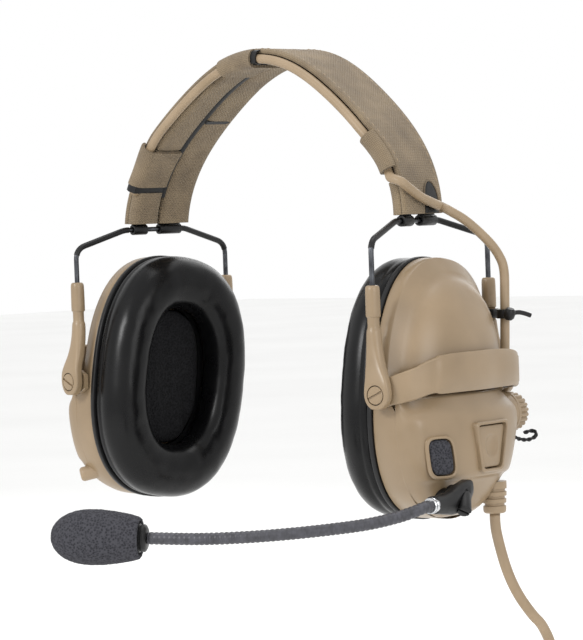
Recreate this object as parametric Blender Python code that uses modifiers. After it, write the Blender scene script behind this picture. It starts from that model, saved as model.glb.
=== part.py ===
"""Tactical radio headset: a padded headband with a wire yoke at each end, two ear cups that slide
and tilt, an electronics module with a push button and a battery cap, a boom microphone and a
trailing lead.

Metres, +Z up. The wearer faces -Y and +X is the wearer's left. The origin is the underside of the
headband's crown, where it rests on the head. Each cup is drawn in its own frame: u points out of
the ear, v points to the rear, and z = 0 is the level of the tilt pivots.
"""

import math

import bmesh
import bpy
from mathutils import Matrix, Vector

MM = 0.001
GAP = 0.3 * MM

# Headband
BAND_WIDTH = 33.4 * MM
BAND_THICK = 7.5 * MM
BAND_RADIUS = 77.0 * MM
BAND_OVAL = 3.7 * MM
BAND_SQUARE = 3.0 * MM
BAND_TOE = 2.1
BAND_LEAN = 0.071
BAND_END = math.radians(1.5)
FRONT_EDGE_END = 13.4 * MM
PAD_THICK = 2.3 * MM
COVER_THICK = 2.3 * MM
CROWN_RADIUS = BAND_RADIUS - BAND_OVAL + BAND_SQUARE
BAND_CENTRE_Z = BAND_THICK - CROWN_RADIUS

# Wire yokes
WIRE_RADIUS = 1.1 * MM
BAR_HALF = 16.1 * MM
BAR_Z = -69.4 * MM
ROLL_RADIUS = 2.35 * MM
YOKE_X = 3.4 * MM
YOKE_Y = -5.5 * MM
YOKE_HALF_SPAN = 84.7 * MM
YOKE_TOE = math.radians(6.5)
LEG_OFFSET = 42.35 * MM
BEND_Z = -77.1 * MM
LEG_END_Z = -114.5 * MM

# Slider stems
PIVOT_Z = {"left": -136.4 * MM, "right": -139.4 * MM}
STEM_LENGTH = 44.5 * MM
STEM_BORE = 1.5 * MM
STEM_BORE_DEPTH = 33.0 * MM
PIVOT_OUT = 3.0 * MM
DISC_RADIUS = 6.2 * MM
DISC_INNER = 43.0 * MM
DISC_OUTER = 47.3 * MM
SCREW_HEAD = 3.75 * MM

# Ear cups
CUP_B = 37.7 * MM
CUP_C = 54.3 * MM
CUP_LEAN = math.radians(9)
CUP_SHIFT = -1.2 * MM
CUP_POWER = 2.4
DOME_DEPTH = 22.0 * MM
DOME_B_RATIO = 0.905
RIM_U = -3.7 * MM
WALL = 2.2 * MM
FLOOR_U = 4.0 * MM
STRAP_THICK = 2.2 * MM
PLATE_THICK = 2.4 * MM
CUSHION_FACE_U = -25.3 * MM

# Module details
BATTERY_U = 10.5 * MM
BATTERY_Z = -12.8 * MM
BOSS_RADIUS = 9.2 * MM
BOSS_END_V = 35.6 * MM
CAP_RADIUS = 8.3 * MM
CAP_START_V = 36.0 * MM
CAP_LENGTH = 6.4 * MM
CAP_RIBS = 22
BUTTON_U = 22.4 * MM
BUTTON_TOP_U = 26.4 * MM
BUTTON_CLEARANCE = 0.4 * MM
BOOM_PIVOT = Vector((20.5, -22.0, -43.0)) * MM

# Cables
CABLE_RADIUS = 2.0 * MM
CABLE_HEIGHT = 2.9 * MM
LEAD_RADIUS = 2.25 * MM
GOOSENECK_RADIUS = 2.5 * MM
HANK_LENGTH = 80.0 * MM
HANK_TOP_Z = -258.5 * MM

COLOURS = {
    "tan_plastic": ((0.34, 0.25, 0.165, 1.0), 0.5, 0.0),
    "tan_fabric": ((0.32, 0.24, 0.16, 1.0), 0.9, 0.0),
    "tan_rubber": ((0.36, 0.27, 0.18, 1.0), 0.6, 0.0),
    "black_plastic": ((0.012, 0.012, 0.013, 1.0), 0.45, 0.0),
    "black_leather": ((0.006, 0.006, 0.007, 1.0), 0.3, 0.0),
    "grey_foam": ((0.05, 0.05, 0.055, 1.0), 0.95, 0.0),
    "steel_wire": ((0.12, 0.12, 0.13, 1.0), 0.3, 1.0),
    "board_green": ((0.02, 0.12, 0.05, 1.0), 0.5, 0.0),
}

parts = None
cutters = None


def material(name):
    """The named surface as a Principled material, made once."""
    found = bpy.data.materials.get(name)
    if found:
        return found
    colour, roughness, metallic = COLOURS[name]
    made = bpy.data.materials.new(name)
    made.use_nodes = True
    shader = made.node_tree.nodes["Principled BSDF"]
    shader.inputs["Base Color"].default_value = colour
    shader.inputs["Roughness"].default_value = roughness
    shader.inputs["Metallic"].default_value = metallic
    return made


def add_object(name, data, look, parent=None, origin=(0, 0, 0), rotation=None):
    """Puts data into the headset's collection as one named part."""
    obj = bpy.data.objects.new(name, data)
    parts.objects.link(obj)
    data.materials.append(material(look))
    obj.parent = parent
    obj.location = origin
    if rotation is not None:
        obj.rotation_mode = "QUATERNION"
        obj.rotation_quaternion = rotation
    return obj


def add_mesh(name, bm, look, parent=None, origin=(0, 0, 0)):
    """Turns a bmesh drawn in its parent's frame into a part whose origin is at origin."""
    bmesh.ops.translate(bm, verts=bm.verts, vec=-Vector(origin))
    bmesh.ops.recalc_face_normals(bm, faces=bm.faces)
    mesh = bpy.data.meshes.new(name)
    bm.to_mesh(mesh)
    bm.free()
    mesh.shade_smooth()
    mesh.set_sharp_from_angle(angle=math.radians(35))
    return add_object(name, mesh, look, parent, origin)


def add_empty(name, location, angle=0.0, parent=None):
    """An empty that carries a moving group."""
    empty = bpy.data.objects.new(name, None)
    parts.objects.link(empty)
    empty.parent = parent
    empty.location = location
    empty.rotation_euler = (0, 0, angle)
    return empty


def loft(rings, capped=True, closed=True):
    """A surface through rings of equal point count, closed around and capped at both ends."""
    bm = bmesh.new()
    rows = [[bm.verts.new(point) for point in ring] for ring in rings]
    count = len(rings[0])
    for low, high in zip(rows, rows[1:]):
        for i in range(count if closed else count - 1):
            j = (i + 1) % count
            bm.faces.new((low[i], low[j], high[j], high[i]))
    if capped:
        bm.faces.new(rows[0][::-1])
        bm.faces.new(rows[-1])
    return bm


def closed_loft(rings):
    """A loft whose last ring joins the first, such as a cushion's ring."""
    bm = bmesh.new()
    rows = [[bm.verts.new(point) for point in ring] for ring in rings]
    count = len(rings[0])
    for low, high in zip(rows, rows[1:] + rows[:1]):
        for i in range(count):
            j = (i + 1) % count
            bm.faces.new((low[i], low[j], high[j], high[i]))
    return bm


def solidify(obj, thickness):
    """Gives an open surface its wall, towards the inside."""
    wall = obj.modifiers.new("wall", "SOLIDIFY")
    wall.thickness = thickness
    wall.offset = -1
    return obj


def bevel(obj, width, segments=1):
    """Rounds the sharp edges."""
    mod = obj.modifiers.new("edge", "BEVEL")
    mod.width = width
    mod.segments = segments
    mod.limit_method = "ANGLE"
    mod.angle_limit = math.radians(40)
    return obj


def lathe(name, profile, look, parent, origin, axis, steps=16):
    """A turned part: profile is (radius, height) down the outer side, about axis through origin."""
    mesh = bpy.data.meshes.new(name)
    edges = [(i, i + 1) for i in range(len(profile) - 1)]
    mesh.from_pydata([(r, 0.0, h) for r, h in profile], edges, [])
    turn = Vector((0, 0, 1)).rotation_difference(Vector(axis).normalized())
    obj = add_object(name, mesh, look, parent, origin, turn)
    screw = obj.modifiers.new("turned", "SCREW")
    screw.steps = steps
    screw.render_steps = steps
    screw.use_merge_vertices = True
    screw.merge_threshold = 0.01 * MM
    screw.use_smooth_shade = True
    return obj


def curve_data(name, points, radius, sides=2):
    """A round rod along points."""
    curve = bpy.data.curves.new(name, "CURVE")
    curve.dimensions = "3D"
    curve.resolution_u = 1
    curve.render_resolution_u = 1
    spline = curve.splines.new("POLY")
    spline.points.add(len(points) - 1)
    for knot, point in zip(spline.points, points):
        knot.co = (*point, 1.0)
    curve.bevel_depth = radius
    curve.bevel_resolution = sides
    curve.use_fill_caps = True
    return curve


def tube(name, points, radius, look, parent=None, origin=(0, 0, 0), sides=2):
    """A cable or wire along points, given in its parent's frame."""
    base = Vector(origin)
    data = curve_data(name, [Vector(p) - base for p in points], radius, sides)
    return add_object(name, data, look, parent, origin)


def outline_data(name, outlines, half_height):
    """A flat outline, with any further outlines as holes, extruded to both sides of z = 0."""
    curve = bpy.data.curves.new(name, "CURVE")
    curve.dimensions = "2D"
    curve.fill_mode = "BOTH"
    curve.resolution_u = 1
    curve.render_resolution_u = 1
    curve.extrude = half_height
    for outline in outlines:
        spline = curve.splines.new("POLY")
        spline.points.add(len(outline) - 1)
        for knot, (x, y) in zip(spline.points, outline):
            knot.co = (x, y, 0.0, 1.0)
        spline.use_cyclic_u = True
    return curve


def as_mesh(obj):
    """The same part as a welded mesh, which can take a Boolean."""
    bpy.context.view_layer.update()
    shape = obj.evaluated_get(bpy.context.evaluated_depsgraph_get())
    mesh = bpy.data.meshes.new_from_object(shape)
    bm = bmesh.new()
    bm.from_mesh(mesh)
    bmesh.ops.remove_doubles(bm, verts=bm.verts, dist=0.01 * MM)
    bm.to_mesh(mesh)
    bm.free()
    made = bpy.data.objects.new(obj.name + "_mesh", mesh)
    for group in obj.users_collection:
        group.objects.link(made)
    made.parent = obj.parent
    made.matrix_world = obj.matrix_world
    name = obj.name
    bpy.data.objects.remove(obj)
    made.name = name
    return made


def as_cutter(obj):
    """Moves a part to the cutters' collection and hides it."""
    for group in list(obj.users_collection):
        group.objects.unlink(obj)
    cutters.objects.link(obj)
    obj.hide_render = True
    obj.display_type = "WIRE"
    return obj


def cut(obj, tool):
    """Takes the cutter's shape out of the part."""
    mod = obj.modifiers.new("cut", "BOOLEAN")
    mod.operation = "DIFFERENCE"
    mod.solver = "EXACT"
    mod.object = tool
    return obj


def drill(name, parent, start, end, radius, sides=16):
    """A round cutter from start to end in its parent's frame."""
    start, end = Vector(start), Vector(end)
    bm = bmesh.new()
    turn = Vector((0, 0, 1)).rotation_difference((end - start).normalized()).to_matrix().to_4x4()
    bmesh.ops.create_cone(
        bm, cap_ends=True, segments=sides, radius1=radius, radius2=radius,
        depth=(end - start).length, matrix=Matrix.Translation((start + end) / 2) @ turn,
    )
    return as_cutter(add_mesh(name, bm, "black_plastic", parent))


def smooth_path(points, count):
    """Evenly spaced points on a smooth curve through the given ones."""
    given = [Vector(p) for p in points]
    given = [2 * given[0] - given[1]] + given + [2 * given[-1] - given[-2]]
    fine = []
    for a, b, c, d in zip(given, given[1:], given[2:], given[3:]):
        for k in range(16):
            t = k / 16
            fine.append(
                0.5 * (2 * b + (c - a) * t + (2 * a - 5 * b + 4 * c - d) * t**2
                       + (3 * b - a - 3 * c + d) * t**3)
            )
    fine.append(given[-2])
    lengths = [0.0]
    for a, b in zip(fine, fine[1:]):
        lengths.append(lengths[-1] + (b - a).length)
    even = []
    k = 0
    for i in range(count):
        target = lengths[-1] * i / (count - 1)
        while k < len(fine) - 2 and lengths[k + 1] < target:
            k += 1
        share = (target - lengths[k]) / (lengths[k + 1] - lengths[k])
        even.append(fine[k].lerp(fine[k + 1], share))
    return even


def superellipse(b, c, count, power=CUP_POWER):
    """Points (v, z) of a rounded oval with half sizes b and c."""
    points = []
    for i in range(count):
        angle = 2 * math.pi * i / count
        cos, sin = math.cos(angle), math.sin(angle)
        points.append((
            b * math.copysign(abs(cos) ** (2 / power), cos),
            c * math.copysign(abs(sin) ** (2 / power), sin),
        ))
    return points


def cup_oval(b, c, count):
    """A cup's oval, which leans to the rear at its top and sits a little forward of the pivots."""
    cos, sin = math.cos(CUP_LEAN), math.sin(CUP_LEAN)
    return [(CUP_SHIFT + v * cos + z * sin, z * cos - v * sin) for v, z in superellipse(b, c, count)]


def cup_edges(z):
    """Front and rear v of the cup's oval at height z."""
    oval = cup_oval(CUP_B - 0.3 * MM, CUP_C - 0.3 * MM, 360)
    found = []
    for (v0, z0), (v1, z1) in zip(oval, oval[1:] + oval[:1]):
        if (z0 - z) * (z1 - z) <= 0 and z0 != z1:
            found.append(v0 + (v1 - v0) * (z - z0) / (z1 - z0))
    return min(found), max(found)


# Headband


def band_point(phi, y, height):
    """A point of the band: phi from the wearer's left end over the crown, height above the head."""
    radius = BAND_RADIUS + BAND_OVAL * math.cos(2 * phi) + BAND_SQUARE * math.cos(4 * phi)
    slope = -2 * BAND_OVAL * math.sin(2 * phi) - 4 * BAND_SQUARE * math.sin(4 * phi)
    tangent = Vector((
        slope * math.cos(phi) - radius * math.sin(phi),
        slope * math.sin(phi) + radius * math.cos(phi),
    )).normalized()
    x = radius * math.cos(phi) + tangent.y * (height - BAND_THICK)
    z = BAND_CENTRE_Z + radius * math.sin(phi) - tangent.x * (height - BAND_THICK)
    return Vector((x * (1 - BAND_TOE * y), y + BAND_LEAN * z, z))


def front_edge(phi):
    """The y of the band's front edge, which draws in towards both ends."""
    from_end = min(phi, math.pi - phi)
    t = min(1.0, max(0.0, (from_end - math.radians(18)) / math.radians(17)))
    return -(FRONT_EDGE_END + (BAND_WIDTH / 2 - FRONT_EDGE_END) * t * t * (3 - 2 * t))


def band_strip(name, section, look, start, end, steps):
    """A strip along the band between two angles; section gives its (y, height) outline there."""
    rings = []
    for i in range(steps + 1):
        phi = math.radians(start + (end - start) * i / steps)
        rings.append([band_point(phi, y, h) for y, h in section(phi)])
    return add_mesh(name, loft(rings), look)


def cover_section(phi):
    """The outer fabric, over the full width."""
    edge, half, low = front_edge(phi), BAND_WIDTH / 2, BAND_THICK - COVER_THICK
    return [
        (edge, low), (half, low), (half, BAND_THICK - 1.1 * MM), (half - 1.8 * MM, BAND_THICK),
        (edge + 1.8 * MM, BAND_THICK), (edge, BAND_THICK - 1.1 * MM),
    ]


def front_pad_section(phi):
    """The front half of the inner padding, beside the cable."""
    edge, seam = front_edge(phi) + CABLE_RADIUS, -0.9 * MM
    return [(edge + MM, 0), (seam, 0), (seam, PAD_THICK), (edge, PAD_THICK), (edge, MM)]


def rear_pad_section(phi):
    half, seam = BAND_WIDTH / 2, 0.9 * MM
    return [(seam, 0), (half - MM, 0), (half, MM), (half, PAD_THICK), (seam, PAD_THICK)]


def end_pad_section(phi):
    """The front padding below the lowest loop, folded up round the band's edge."""
    edge, seam = front_edge(phi), -0.9 * MM
    return [
        (edge + MM, 0), (seam, 0), (seam, PAD_THICK), (edge + MM, PAD_THICK), (edge + MM, 4.9 * MM),
        (edge, 4.9 * MM), (edge, MM),
    ]


def core_section(phi):
    half, low, high = 11.5 * MM, PAD_THICK + GAP, BAND_THICK - COVER_THICK - GAP
    return [(-half, low), (half, low), (half, high), (-half, high)]


def loop_section(phi):
    """A fabric loop: flush with the padding inside, then round the cable to the band's front edge."""
    edge, seam = front_edge(phi), -0.9 * MM
    outer = [
        (edge - 0.3 * MM, 7.4 * MM), (edge - 2.7 * MM, 6.3 * MM), (edge - 3.9 * MM, 3.4 * MM),
        (edge - 3.2 * MM, 0.7 * MM), (edge - MM, -0.8 * MM), (seam, -0.8 * MM), (seam, PAD_THICK),
    ]
    inner = [
        (edge + 2.0 * MM, PAD_THICK), (edge + 2.0 * MM, 0.3 * MM), (edge - 0.6 * MM, 0.3 * MM),
        (edge - 2.2 * MM, 1.3 * MM), (edge - 2.8 * MM, 3.3 * MM), (edge - 2.0 * MM, 5.3 * MM),
        (edge - 0.3 * MM, 6.2 * MM),
    ]
    return outer + inner


def headband():
    """Cover, padding, core and the loops that hold the crossover cable."""
    band_strip("band_cover", cover_section, "tan_fabric", 1.5, 178.5, 30)
    band_strip("band_pad_rear", rear_pad_section, "tan_fabric", 1.5, 178.5, 26)
    band_strip("band_pad_right", front_pad_section, "tan_fabric", 30.2, 86, 10)
    band_strip("band_pad_left", front_pad_section, "tan_fabric", 106, 149.3, 8)
    band_strip("band_end_pad_right", end_pad_section, "tan_fabric", 1.5, 12.4, 3)
    band_strip("band_end_pad_left", end_pad_section, "tan_fabric", 169.2, 178.5, 3)
    band_strip("band_core", core_section, "black_plastic", 8.5, 171.5, 24)
    band_strip("loop_right", loop_section, "tan_fabric", 16.2, 29.4, 4)
    band_strip("loop_top", loop_section, "tan_fabric", 90, 105.4, 4)
    band_strip("loop_left", loop_section, "tan_fabric", 150, 164.6, 4)


def yoke_point(side, v, z, u=0.0):
    """World position of a point given in a cup's frame, with z in world height."""
    sign = 1 if side == "right" else -1
    cos, sin = math.cos(YOKE_TOE), math.sin(YOKE_TOE)
    x = YOKE_X + sign * (YOKE_HALF_SPAN + u * cos - v * sin)
    return Vector((x, YOKE_Y + u * sin + v * cos, z))


def bar_point(side, y):
    """A point of a yoke's level bar, under the end of the band."""
    phi = BAND_END if side == "right" else math.pi - BAND_END
    point = band_point(phi, y, BAND_THICK / 2)
    return Vector((point.x, point.y, BAR_Z))


def yoke_wire(side):
    """One wire: stem, slope, the bar under the band, slope and stem."""
    paths = []
    for end in (-1, 1):
        tip = yoke_point(side, end * LEG_OFFSET, LEG_END_Z)
        bend = yoke_point(side, end * LEG_OFFSET, BEND_Z)
        turn = bar_point(side, end * BAR_HALF)
        path = [tip]
        for before, corner, after, radius in (
            (tip, bend, turn, 5.0 * MM), (bend, turn, bar_point(side, 0), 2.2 * MM),
        ):
            start = corner + (before - corner).normalized() * radius
            stop = corner + (after - corner).normalized() * radius
            for k in range(5):
                t = k / 4
                path.append(start * (1 - t) ** 2 + corner * 2 * t * (1 - t) + stop * t * t)
        paths.append(path)
    tube("yoke_wire_" + side, paths[0] + paths[1][::-1], WIRE_RADIUS, "steel_wire")


def wire_clips(side, sign):
    """The two ends of the band's stiffener, each rolled round the yoke's bar."""
    along = (bar_point(side, BAR_HALF) - bar_point(side, -BAR_HALF)).normalized()
    up = Vector((0, 0, 1))
    out = Vector((along.y, -along.x, 0)).normalized() * sign
    turn = Matrix((out, up, out.cross(up))).transposed().to_quaternion()
    plate, height = 0.6 * MM, 5.2 * MM
    roll = []
    for i in range(13):
        angle = math.radians(105 + 330 * i / 12)
        roll.append((ROLL_RADIUS * math.cos(angle), ROLL_RADIUS * math.sin(angle)))
    bore = []
    for i in range(12):
        angle = -math.pi * i / 6
        radius = WIRE_RADIUS + GAP
        bore.append((radius * math.cos(angle), radius * math.sin(angle)))
    outline = [(plate, height), (-plate, height)] + roll
    for name, y, half in (("front", -8.3 * MM, 3.7 * MM), ("rear", 7.8 * MM, 5.8 * MM)):
        label = f"wire_clip_{side}_{name}"
        data = outline_data(label, [outline, bore], half)
        add_object(label, data, "black_plastic", None, bar_point(side, y), turn)


# Stems


def stem_rings(end):
    """Sections of a stem from its top to the bottom of its pivot disc: end is -1 front, 1 rear."""
    shift = (DISC_INNER + DISC_OUTER) / 2 - LEG_OFFSET
    half = (DISC_OUTER - DISC_INNER) / 2
    top = STEM_LENGTH
    # height above the pivot, half width in u, half width in v, share of the outward kink
    stations = [
        (top, 2.1, 2.1, 0.0), (top - 0.9 * MM, 3.0, 3.0, 0.0), (top - 12.6 * MM, 3.1, 3.1, 0.0),
        (top - 13.2 * MM, 2.5, 2.5, 0.0), (top - 17.6 * MM, 2.5, 2.5, 0.0),
        (top - 18.2 * MM, 3.1, 3.0, 0.0), (top - 26 * MM, 3.5, 2.9, 0.12),
        (top - 33 * MM, 4.3, 2.6, 0.45), (top - 37.5 * MM, 5.2, half / MM, 0.85),
        (4.5 * MM, 5.75, half / MM, 1.0), (2.0 * MM, 6.15, half / MM, 1.0),
    ]
    rings = []
    for z, width, depth, kink in stations:
        rings.append((z, width * MM, depth * MM, kink))
    for z in (0.0, -2.4 * MM, -4.2 * MM, -5.4 * MM, -6.0 * MM):
        rings.append((z, math.sqrt(DISC_RADIUS**2 - z * z), half, 1.0))
    made = []
    for z, width, depth, kink in rings:
        power = 2 + 3 * kink
        ring = []
        for du, dv in superellipse(width, depth, 14, power):
            ring.append((PIVOT_OUT * kink + du, end * (LEG_OFFSET + shift * kink + dv), z))
        made.append(ring)
    return made


def stems(side, sign, carrier):
    """Front and rear stems and the slotted screws that the cup tilts on."""
    for name, end in (("front", -1), ("rear", 1)):
        rings = [[(sign * u, v, z) for u, v, z in ring] for ring in stem_rings(end)]
        stem = add_mesh(f"stem_{side}_{name}", loft(rings), "tan_plastic", carrier)
        bore = drill(
            f"stem_bore_{side}_{name}", carrier, (0, end * LEG_OFFSET, STEM_LENGTH + 2 * MM),
            (0, end * LEG_OFFSET, STEM_LENGTH - STEM_BORE_DEPTH), STEM_BORE, 10,
        )
        pin_u = sign * PIVOT_OUT
        hole = drill(
            f"stem_hole_{side}_{name}", carrier, (pin_u, end * (DISC_INNER - 2 * MM), 0),
            (pin_u, end * (DISC_OUTER + 2 * MM), 0), 2.3 * MM, 12,
        )
        seat = drill(
            f"stem_seat_{side}_{name}", carrier, (pin_u, end * (DISC_OUTER - 1.3 * MM), 0),
            (pin_u, end * (DISC_OUTER + 2 * MM), 0), SCREW_HEAD + 0.3 * MM, 16,
        )
        for tool in (bore, hole, seat):
            cut(stem, tool)
        head, shank = 1.3 * MM, DISC_OUTER - 1.0 * MM
        profile = [
            (0, head), (SCREW_HEAD - 0.4 * MM, head), (SCREW_HEAD, head - 0.4 * MM), (SCREW_HEAD, 0),
            (2.0 * MM, 0), (2.0 * MM, -(shank - 40.9 * MM)), (0, -(shank - 40.9 * MM)),
        ]
        screw = lathe(
            f"pivot_screw_{side}_{name}", profile, "tan_plastic", carrier,
            (pin_u, end * shank, 0), (0, end, 0),
        )
        slot = bmesh.new()
        bmesh.ops.create_cube(slot, size=1.0)
        bmesh.ops.scale(slot, vec=(2.2 * SCREW_HEAD, 1.6 * MM, 1.1 * MM), verts=slot.verts)
        bmesh.ops.rotate(slot, matrix=Matrix.Rotation(math.radians(-25) * sign, 3, "Y"), verts=slot.verts)
        bmesh.ops.translate(slot, vec=(pin_u, end * (shank + head), 0), verts=slot.verts)
        tool = as_cutter(add_mesh(f"screw_slot_{side}_{name}", slot, "tan_plastic", carrier))
        cut(screw, tool)


# Cups


def blend_up(z, low, high):
    """0 below low, 1 above high, smooth between."""
    t = min(1.0, max(0.0, (z - low) / (high - low)))
    return t * t * (3 - 2 * t)


def dome_rise(rho, z):
    """Outer surface u of a cup's shell at ring rho and height z: full above, sunk under the module."""
    share = rho / DOME_B_RATIO
    dome = DOME_DEPTH * math.sqrt(max(0.0, 1 - share**2.6))
    upper = max(dome, (2.5 + 40 * (1 - rho)) * MM if rho > 0.88 else 0.0)
    return FLOOR_U + (upper - FLOOR_U) * blend_up(z, 2 * MM, 8 * MM)


def shell_wall(rho, z):
    """Top of the shell's side wall: high beside the module, low beside the pivots and the dome."""
    return 2.5 * MM + 5.5 * MM * blend_up(-z, 7 * MM, 12 * MM) + (dome_rise(rho, z) - 2.5 * MM) * (
        blend_up(z, 2 * MM, 8 * MM)
    )


def dome_inside(rho, z):
    """Inner surface u of the shell."""
    dome = (DOME_DEPTH - WALL) * math.sqrt(max(0.0, 1 - (rho / (DOME_B_RATIO - 0.06)) ** 2.6))
    low = FLOOR_U - WALL
    return low + (max(dome, low) - low) * blend_up(z, 2 * MM, 8 * MM)


def cup_shell(side, sign, cup):
    """The moulded shell that closes the outside of a cup."""
    count = 32

    def ring(rho, height):
        oval = cup_oval(CUP_B * rho, CUP_C * rho, count)
        return [(sign * height(rho, z), v, z) for v, z in oval]

    inside = 1 - WALL / CUP_B
    rings = [ring(r, dome_inside) for r in (0.15, 0.35, 0.52, 0.66, 0.76, 0.83, inside)]
    rings += [ring(inside, lambda r, z: RIM_U), ring(1.0, lambda r, z: RIM_U)]
    rings += [ring(1.0, shell_wall), ring(inside + 0.004, shell_wall)]
    rings += [ring(r, dome_rise) for r in (0.935, 0.89, 0.83, 0.75, 0.62, 0.46, 0.3, 0.13)]
    bm = bmesh.new()
    rows = [[bm.verts.new(p) for p in row] for row in rings]
    for low, high in zip(rows, rows[1:]):
        for i in range(count):
            j = (i + 1) % count
            bm.faces.new((low[i], low[j], high[j], high[i]))
    for row, height in ((rows[0], dome_inside), (rows[-1], dome_rise)):
        centre = bm.verts.new((sign * height(0, 0), 0, 0))
        for i in range(count):
            bm.faces.new((row[i], row[(i + 1) % count], centre))
    return add_mesh(side + "_shell", bm, "tan_plastic", cup)


def module_rows():
    """Level sections of the module cover: (u, v, z) from the front edge round to the rear edge."""
    seat = 9.4
    # place across the cup from -1 at the front to 1 at the rear, and outer depth of the section
    full = [
        (-1.0, seat), (-0.985, 14.5), (-0.89, 18.5), (-0.74, 20.8), (-0.545, 22.8), (-0.364, 24.3),
        (-0.092, 26.0), (0.125, 26.7), (0.397, 26.2), (0.614, 24.8), (0.777, 22.6), (0.90, 19.7),
        (0.97, 15.5), (1.0, seat),
    ]
    # height, how far towards the full section, depth of the outer face
    levels = [
        (-0.8, 0.0, 21.6), (-4.9, 0.4, 24.6), (-11.0, 1.0, 26.4), (-18.0, 1.0, 26.7),
        (-28.0, 1.0, 26.6), (-35.5, 1.0, 25.6), (-38.0, 1.0, 21.5), (-45.0, 1.0, 18.5),
        (-50.0, 1.0, 15.5), (-52.6, 1.0, 12.5),
    ]
    rows = []
    for z, share, depth in levels:
        front, rear = cup_edges(z * MM)
        middle, half = (front + rear) / 2, (rear - front) / 2
        row = []
        for place, u in full:
            boxy = seat + (u - seat) * (depth - seat) / 17.3
            slim = max(seat, 21.6 * math.sqrt(max(0.0, 1 - abs(place) ** 2.6)))
            width = 0.9 + 0.1 * share
            row.append((
                (boxy * share + slim * (1 - share)) * MM,
                middle + place * half * width,
                z * MM,
            ))
        rows.append(row)
    return rows


def module_cover(side, sign, cup):
    """The electronics cover over the lower half of a cup."""
    rows = [[(sign * u, v, z) for u, v, z in row] for row in module_rows()]
    cover = add_mesh(side + "_module_cover", loft(rows, False, False), "tan_plastic", cup)
    return solidify(cover, 2.0 * MM)


def pivot_strap(side, sign, cup):
    """The band round the outside of a cup that carries both pivots."""
    # u, v, centre height, half height
    route = [
        (3.0, -41.5, 0.0, 5.3), (7.5, -41.3, 1.6, 5.5), (11.6, -39.6, 2.8, 6.3), (15.4, -36.2, 4.2, 6.9),
        (19.2, -30.6, 6.6, 7.3), (22.2, -22.4, 7.4, 7.7), (23.9, -11.0, 7.6, 7.8), (24.2, 0.0, 7.6, 7.8),
        (23.5, 9.0, 7.6, 7.8), (22.9, 18.0, 7.4, 7.6), (21.6, 26.0, 6.9, 7.2), (18.9, 32.6, 5.6, 6.9),
        (14.1, 37.9, 3.6, 6.2), (8.5, 40.5, 2.2, 5.4), (3.0, 41.3, 0.6, 5.2),
    ]
    places = [Vector((u, v, 0)) for u, v, _, _ in route]
    rings = []
    for i, (u, v, middle, half) in enumerate(route):
        ahead = places[min(i + 1, len(places) - 1)]
        behind = places[max(i - 1, 0)]
        along = (ahead - behind).normalized()
        out = Vector((along.y, -along.x, 0)) * STRAP_THICK / MM / 2
        if i in (0, len(route) - 1):
            out = Vector((0, math.copysign(STRAP_THICK / MM / 2, v), 0))
        ring = []
        for way, level in ((-1, -1), (1, -1), (1, 1), (-1, 1)):
            x, y = u + way * out.x, v + way * out.y
            ring.append((sign * x * MM, y * MM, (middle + level * half) * MM))
        rings.append(ring)
    tips = []
    for end in (-1, 1):
        ring = []
        for way, level in ((-1, -1), (1, -1), (1, 1), (-1, 1)):
            y = end * (41.3 * MM + way * STRAP_THICK / 2)
            ring.append((sign * -2.8 * MM, y, level * 3.7 * MM))
        tips.append(ring)
    rings = [tips[0]] + rings + [tips[1]]
    strap = add_mesh(side + "_strap", loft(rings), "tan_plastic", cup)
    for name, end in (("front", -1), ("rear", 1)):
        hole = drill(
            f"strap_hole_{side}_{name}", cup, (sign * PIVOT_OUT, end * 36 * MM, 0),
            (sign * PIVOT_OUT, end * 45 * MM, 0), 2.3 * MM, 12,
        )
        cut(strap, hole)
    return strap


def ear_seal(side, sign, cup):
    """Back plate, cushion, foam pad and driver on the ear side of a cup."""
    count = 32
    plate_outer = cup_oval(CUP_B + 0.6 * MM, CUP_C + 0.6 * MM, count)
    plate_inner = cup_oval(19.8 * MM, 31.5 * MM, count)
    near, far = RIM_U - GAP, RIM_U - GAP - PLATE_THICK
    rings = []
    for oval, u in ((plate_outer, near), (plate_outer, far), (plate_inner, far), (plate_inner, near)):
        rings.append([(sign * u, v, z) for v, z in oval])
    add_mesh(side + "_back_plate", closed_loft(rings), "black_plastic", cup)

    back = far - GAP
    face = CUSHION_FACE_U
    depth = back - face
    # share of the depth from the plate, half width, half height
    section = [
        (0.0, 34.0, 50.6), (0.0, 37.0, 53.6), (0.25, 37.8, 54.6), (0.55, 37.4, 54.0),
        (0.82, 34.8, 51.0), (0.96, 31.4, 47.2), (1.0, 28.4, 43.8), (1.0, 25.0, 39.8), (0.93, 21.8, 35.6),
        (0.7, 19.4, 32.2), (0.35, 18.7, 30.8), (0.0, 19.4, 31.6),
    ]
    rings = []
    for share, b, c in section:
        oval = cup_oval(b * MM, c * MM, count)
        rings.append([(sign * (back - depth * share), v, z) for v, z in oval])
    add_mesh(side + "_cushion", closed_loft(rings), "black_leather", cup)

    rings = [
        [(sign * u, v, z) for v, z in cup_oval(18.3 * MM, 30.3 * MM, 24)]
        for u in (near - 0.2 * MM, far - 2.6 * MM)
    ]
    add_mesh(side + "_foam", loft(rings), "grey_foam", cup)
    half, rim = 19.0 * MM, 1.0 * MM
    profile = [
        (0, 4.4 * MM), (9 * MM, 4.4 * MM), (half, 1.6 * MM), (half, 0), (half - rim, 0), (0, 0),
    ]
    lathe(
        side + "_driver", profile, "black_plastic", cup,
        (sign * (RIM_U + GAP), CUP_SHIFT, 8 * MM), (sign, 0, 0), 20,
    )


def cup(side, sign, carrier):
    """A whole ear cup on its tilt pivots."""
    frame = add_empty(side + "_cup", (0, 0, 0), parent=carrier)
    shell = cup_shell(side, sign, frame)
    cover = module_cover(side, sign, frame)
    pivot_strap(side, sign, frame)
    ear_seal(side, sign, frame)
    return frame, shell, cover


# Left cup's own piece


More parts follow.
